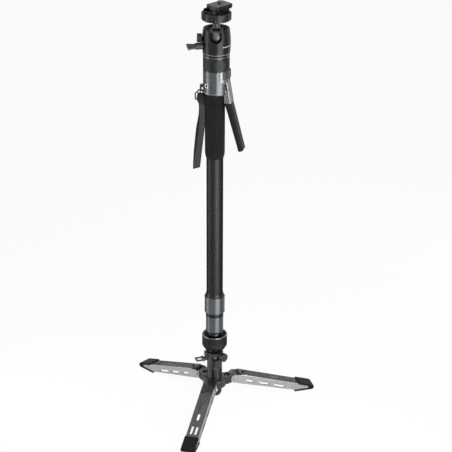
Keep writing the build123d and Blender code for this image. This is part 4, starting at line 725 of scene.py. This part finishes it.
# Fine level lines in the sunk faces of the side covers, which stop short of the socket
HOUSING = 23.75
COVER_FACE = HOUSING + 1.0
COVER_SINK = 0.4
COVER_AZIMUTH = 123.0
COVER_EDGES = ((-73.4, -71.2), (-176.3, -174.1), (71.2, 73.4), (174.1, 176.3))
COVER_EDGE_MARGIN = 1.4
COVER_EDGE_RISE = 0.16
COVER_SPANS = ((-173.8, -73.6), (73.6, 173.8))
COVER_FOOT = (1.0, 2.0)
COVER_FOOT_RISE = 0.12
LINES = 17
LINE_MARGIN = 4.4
LINE_HALF_HEIGHT = 0.28
LINE_RISE = 0.16
LINE_HALF_SPAN = 48
SHORT_LINE_HALF_SPAN = 42
SOCKET_LEVEL = 16.8
SOCKET_ROOM = 6.2
BESIDE_SOCKET = (-96.0, -81.0)
bottom, top = low("side_covers"), high("side_covers")
socket_height = low("handle_housing") + SOCKET_LEVEL
bm = bmesh.new()
for centre in (-COVER_AZIMUTH, COVER_AZIMUTH):
    for i in range(LINES):
        at = bottom + LINE_MARGIN + i * (top - bottom - 2 * LINE_MARGIN) / (LINES - 1)
        start, end = centre - LINE_HALF_SPAN, centre + LINE_HALF_SPAN
        if abs(at - socket_height) < SOCKET_ROOM:
            start, end = centre - SHORT_LINE_HALF_SPAN, centre + SHORT_LINE_HALF_SPAN
            if centre < 0:
                start, end = BESIDE_SOCKET
        bar_round(
            bm, COVER_FACE - COVER_SINK, start, end, at - LINE_HALF_HEIGHT, at + LINE_HALF_HEIGHT,
            LINE_RISE, steps=24,
        )
add_piece(bm, "side_cover_lines", "upper", "anodised_grey")
# Bars along the covers' edges and feet in a bright metal: painted highlight lines.
bm = bmesh.new()
for start, end in COVER_EDGES:
    bar_round(
        bm, COVER_FACE, start, end, bottom + COVER_EDGE_MARGIN, top - COVER_EDGE_MARGIN,
        COVER_EDGE_RISE, steps=3,
    )
for start, end in COVER_SPANS:
    bar_round(
        bm, COVER_FACE, start, end, bottom + COVER_FOOT[0], bottom + COVER_FOOT[1],
        COVER_FOOT_RISE, steps=40,
    )
add_piece(bm, "side_cover_border_painted_highlight", "upper", "bright_edge_painted_highlight")
copied("side_covers", bevel=0.25, edge="soft_edge_painted_highlight")
copied("lever_cover", bevel=0.5, segments=3, material="brushed_grey")

# Safety slider: a curved pad with rows of small raised points
SLIDER_FACE = HOUSING + 3.1
SLIDER_HALF_SPAN = 37
POINT_ROWS, POINT_COLUMNS = 7, 19
POINT_STEP = 4.0
POINT_MARGIN = 1.6
POINT_HALF_WIDTH = 0.9
POINT_HALF_HEIGHT = 0.4
POINT_RISE = 0.28
bottom, top = low("safety_slider"), high("safety_slider")
bm = bmesh.new()
for row in range(POINT_ROWS):
    at = bottom + POINT_MARGIN + row * (top - bottom - 2 * POINT_MARGIN) / (POINT_ROWS - 1)
    for column in range(POINT_COLUMNS):
        azimuth = (column - POINT_COLUMNS // 2 + (row % 2) / 2) * POINT_STEP
        if abs(azimuth) <= SLIDER_HALF_SPAN:
            bar_round(
                bm, SLIDER_FACE, azimuth - POINT_HALF_WIDTH, azimuth + POINT_HALF_WIDTH,
                at - POINT_HALF_HEIGHT, at + POINT_HALF_HEIGHT, POINT_RISE,
            )
add_piece(bm, "slider_points", "slider", "anodised_grey")
copied("safety_slider", edge="bright_edge_painted_highlight")

# Ball housing: scale ticks, the index line, and a bright bar at its foot, a painted highlight along
# the bevel
TICKS = 72
TICK_FACE = 25.37
TICK_FLARE = 0.22
TICK_RISE = 0.06
TICK_HEIGHTS = (5.9, 8.0)
LONG_TICK_EVERY = 3
LONG_TICK_HALF, TICK_HALF = 0.9, 0.5
INDEX_FACE = 26.46
INDEX_SPAN = (-50.0, -6.0)
INDEX_HEIGHTS = (21.8, 22.9)
INDEX_RISE = 0.08
FOOT_LINE_FACE = 24.6
FOOT_LINE_HEIGHTS = (0.5, 1.35)
FOOT_LINE_RISE = 0.12
QUARTER = 90.0
bottom = low("ball_housing")
bm = bmesh.new()
for i in range(TICKS):
    azimuth = i * 360 / TICKS
    half = TICK_HALF if i % LONG_TICK_EVERY else LONG_TICK_HALF
    bar_round(
        bm, TICK_FACE, azimuth - half, azimuth + half, bottom + TICK_HEIGHTS[0],
        bottom + TICK_HEIGHTS[1], TICK_RISE, flare=TICK_FLARE,
    )
add_piece(bm, "pan_scale_ticks", "head", "pale_mark")
bm = bmesh.new()
bar_round(
    bm, INDEX_FACE, *INDEX_SPAN, bottom + INDEX_HEIGHTS[0], bottom + INDEX_HEIGHTS[1],
    INDEX_RISE, steps=24,
)
add_piece(bm, "lock_index_line", "head", "pale_mark")
bm = bmesh.new()
for i in range(4):
    bar_round(
        bm, FOOT_LINE_FACE, i * QUARTER, (i + 1) * QUARTER, bottom + FOOT_LINE_HEIGHTS[0],
        bottom + FOOT_LINE_HEIGHTS[1], FOOT_LINE_RISE, steps=30,
    )
add_piece(bm, "housing_foot_painted_highlight", "head", "bright_edge_painted_highlight")
copied("ball_housing", bevel=0.5, segments=3, edge="soft_edge_painted_highlight")

# Clamp and plate
PLATE_TOP_DEPTH = 1.2
FACES_UP = 0.9
for node in ("clamp_base", "clamp_jaw", "clamp_ring"):
    copied(node, bevel=0.45, edge="soft_edge_painted_highlight")
piece = copied("quick_release_plate", bevel=0.45, edge="soft_edge_painted_highlight")
painted_light_plate_top = high("quick_release_plate") - PLATE_TOP_DEPTH
# The plate's upward faces take the paler grey: painted light on its top.
give_faces(
    piece, "painted_light_plate_top",
    lambda polygon: polygon.normal.z > FACES_UP and height_of(polygon) > painted_light_plate_top,
)
copied("camera_screw", bevel=0.2, material="dark_steel")

# Legs, boots, latches and the parts of the base
for number in LEGS:
    copied(f"leg_{number}", bevel=0.4)
    copied(f"boot_{number}", bevel=0.7, segments=3)
    copied(f"leg_latch_{number}", bevel=0.5)
copied("leg_hub", bevel=0.7, segments=3)
copied("swivel_block", bevel=0.6, segments=3)
copied("foot_pedal", bevel=0.5)
copied("tilt_knob", bevel=0.4)
copied("hanging_ring", bevel=0.4)

# Squeeze lever
copied("lever_frame", bevel=0.5, material="brushed_grey", edge="soft_edge_painted_highlight")
copied("lever_grip", bevel=0.8, segments=3)

# Wrist strap: a loop of webbing, folded over the clip's bar, that twists as it hangs.
# Each place is (height, left x, left y, right x, right y).
STRAP_THICKNESS = 1.5
STRAP_ROUND_SHARE = 0.35
STRAP_TURN = 6
STRAP_EASE = 3
STRAP_HIDDEN_ABOVE = 636.0
LOWER_FOLD_RISES = (-7.2, -1.8)
UPPER_FOLD_RISES = (2.2, 2.6)
FRONT = (
    (653.0, -33.0, -2.6, -20.0, -4.0), (647.0, -34.2, -3.0, -17.6, -7.6),
    (641.0, -33.4, -3.6, -16.2, -11.0), (635.0, -29.4, -4.5, -16.0, -12.2),
    (629.0, -28.0, -5.4, -16.0, -12.4), (618.0, -27.6, -5.8, -16.0, -12.4),
    (603.0, -28.0, -5.4, -16.0, -12.2), (587.0, -30.0, -4.2, -17.4, -10.2),
    (571.0, -32.0, -3.2, -19.8, -7.6), (554.0, -34.2, -2.5, -22.3, -5.0),
    (538.0, -36.8, -2.0, -24.4, -3.5), (521.0, -39.8, -1.8, -26.6, -2.4),
    (508.0, -41.8, -1.7, -28.2, -1.8),
)
BACK = (
    (653.0, -33.2, 1.6, -20.6, 1.6), (641.0, -34.2, 2.4, -21.4, 2.0),
    (630.0, -31.6, 2.4, -20.8, 1.2), (615.0, -31.8, 2.4, -20.8, 0.8),
    (606.0, -33.0, 2.4, -21.2, 0.8), (597.0, -34.6, 2.4, -22.2, 0.8),
    (583.0, -37.0, 2.2, -24.5, 0.9), (567.0, -38.7, 2.0, -26.0, 1.1),
    (550.0, -40.4, 1.9, -27.4, 1.3), (534.0, -41.8, 1.8, -28.4, 1.5),
    (517.0, -42.8, 1.7, -29.0, 1.6), (508.0, -43.2, 1.7, -29.4, 1.7),
)


def eased(places):
    """A smooth run through places, with a few steps between each two of them."""
    run = []
    for i in range(len(places) - 1):
        before, after = places[max(i - 1, 0)], places[min(i + 2, len(places) - 1)]
        for step in range(STRAP_EASE):
            t = step / STRAP_EASE
            run.append(tuple(
                0.5 * (2 * b + (c - a) * t + (2 * a - 5 * b + 4 * c - d) * t**2
                       + (3 * b - a - 3 * c + d) * t**3)
                for a, b, c, d in zip(before, places[i], places[i + 1], after)
            ))
    return run + [places[-1]]


def edges_at(place):
    height, left_x, left_y, right_x, right_y = place
    return Vector((left_x, left_y, height)), Vector((right_x, right_y, height))


def fold(first, last, rises):
    """Stations of a fold between two stations, which rises or hangs at each edge."""
    for step in range(1, STRAP_TURN):
        turn = pi * step / STRAP_TURN
        share = (1 - cos(turn)) / 2
        yield tuple(
            start.lerp(end, share) + Vector((0, 0, rise * sin(turn)))
            for start, end, rise in zip(first, last, rises)
        )


def strap():
    """The webbing all round the loop: front, lower fold, back, upper fold.
    Faces that lie behind, or under the clip, take the second material, a far darker webbing that is
    painted shade."""
    front = [edges_at(place) for place in eased(FRONT)]
    back = [edges_at(place) for place in eased(BACK)][::-1]
    stations = front + list(fold(front[-1], back[0], LOWER_FOLD_RISES)) + back
    stations += list(fold(back[-1], front[0], UPPER_FOLD_RISES))
    bm = bmesh.new()
    half, edge = STRAP_THICKNESS / 2, STRAP_THICKNESS * STRAP_ROUND_SHARE
    sections = []
    for i, (left, right) in enumerate(stations):
        before, after = stations[i - 1], stations[(i + 1) % len(stations)]
        run = (after[0] + after[1]) - (before[0] + before[1])
        across = (right - left).normalized()
        out = run.cross(across).normalized()
        width = (right - left).length
        sections.append([
            bm.verts.new((left + across * along + out * off) * MM)
            for along, off in (
                (0, half - edge), (edge, half), (width / 2, half), (width - edge, half),
                (width, half - edge), (width, edge - half), (width - edge, -half),
                (width / 2, -half), (edge, -half), (0, edge - half),
            )
        ])
    for i, first in enumerate(sections):
        second = sections[(i + 1) % len(sections)]
        in_painted_shade = i >= len(front) or stations[i][0].z > STRAP_HIDDEN_ABOVE
        for j in range(len(first)):
            k = (j + 1) % len(first)
            bm.faces.new((first[j], first[k], second[k], second[j])).material_index = int(in_painted_shade)
    return object_from(bm, "wrist_strap_piece")


piece = strap()
indices = [face.material_index for face in piece.data.polygons]
stand_for(piece, "wrist_strap")
piece.data.materials.append(MATERIALS["webbing_painted_shade"])
piece.data.polygons.foreach_set("material_index", indices)
copied("strap_clip", bevel=0.0, material="cast_black")
copied("strap_lug", bevel=0.4, material="cast_black")

# Rod spring: its CAD form, with a mesh of its own
piece = copied("rod_spring", bevel=0.0)
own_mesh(piece)

# Every node that isn't built above takes its CAD form with soft edges
for node in nodes:
    if node not in done:
        copied(node)

# Stage: a pale floor and a white room, both white where they are seen or mirrored
FLOOR_REACH = 6.0
FLOOR_SHADES = ((0.93, 0.93, 0.93), (0.95, 0.95, 0.95))
FLOOR_GLOW_SHARE = 0.93
ROOM_LIGHT = 0.35


def seen_directly(tree):
    """Whether a ray comes from the camera, a mirror-like face or through glass."""
    path = add(tree, "ShaderNodeLightPath").outputs
    first = maths(tree, "MAXIMUM", path["Is Camera Ray"], path["Is Glossy Ray"])
    return maths(tree, "MAXIMUM", first, path["Is Transmission Ray"])


tree, principled = shader("floor_white")
fill(tree, principled, {
    "Base Color": ramp(tree, noise(tree, 8.0), *FLOOR_SHADES),
    "Roughness": 0.9,
    "Specular IOR Level": 0.1,
})
glow = add(tree, "ShaderNodeEmission", {"Color": WHITE, "Strength": 1.0}).outputs[0]
share = maths(tree, "MULTIPLY", seen_directly(tree), FLOOR_GLOW_SHARE)
mixed = add(tree, "ShaderNodeMixShader", {0: share, 1: principled.outputs[0], 2: glow})
tree.links.new(mixed.outputs[0], tree.nodes["Material Output"].inputs["Surface"])

bm = bmesh.new()
bmesh.ops.create_grid(bm, x_segments=8, y_segments=8, size=FLOOR_REACH)
floor = object_from(bm, "floor")
floor.data.materials.append(MATERIALS["floor_white"])

world = bpy.data.worlds.new("studio")
bpy.context.scene.world = world
world.use_nodes = True
tree = world.node_tree
fill(tree, tree.nodes["Background"], {
    "Strength": ramp(tree, seen_directly(tree), ROOM_LIGHT, 1.0, 0.0, 1.0),
    "Color": WHITE,
})

# Lights, in metres
FLOOR_GAP = 0.03
LIGHT_TARGET = 0.42


def softbox(name, azimuth, distance, width, height, radiance, elevation=None):
    """A soft rectangle of light. Without an elevation it stands upright on the floor."""
    data = bpy.data.lights.new(name, "AREA")
    data.shape = "RECTANGLE"
    data.size = width
    data.size_y = height
    data.energy = radiance * pi * width * height
    lamp = object_of(data, name)
    a, e = radians(azimuth), radians(elevation or 0.0)
    target = Vector((0, 0, LIGHT_TARGET if elevation else height / 2 + FLOOR_GAP))
    lamp.location = target + distance * Vector((cos(a) * cos(e), sin(a) * cos(e), sin(e)))
    lamp.rotation_euler = (target - lamp.location).to_track_quat("-Z", "Y").to_euler()


softbox("key", -43, distance=0.50, width=0.40, height=0.92, radiance=5.0)
softbox("rim_left", -159, distance=0.52, width=0.22, height=0.92, radiance=3.4)
softbox("rim_right", 50, distance=1.2, width=0.45, height=1.15, radiance=2.6)
softbox("fill_top", -90, distance=2.4, width=1.5, height=1.5, radiance=1.0, elevation=50)

# Camera
CAMERA_PLACE = (0.7074, -2.7581, 1.7011)
CAMERA_TURN, CAMERA_TILT, CAMERA_ROLL = radians(13.95), radians(65.21), 0.0046
camera_data = bpy.data.cameras.new("camera")
camera_data.sensor_width = 36.0
camera_data.lens = 129.93
camera_data.clip_start = 0.05
camera_data.clip_end = 60.0
camera = object_of(camera_data, "camera")
camera.matrix_world = (
    Matrix.Translation(CAMERA_PLACE)
    @ Matrix.Rotation(CAMERA_TURN, 4, "Z")
    @ Matrix.Rotation(CAMERA_TILT, 4, "X")
    @ Matrix.Rotation(CAMERA_ROLL, 4, "Z")
)
bpy.context.scene.camera = camera
bpy.context.scene.view_settings.view_transform = "Standard"
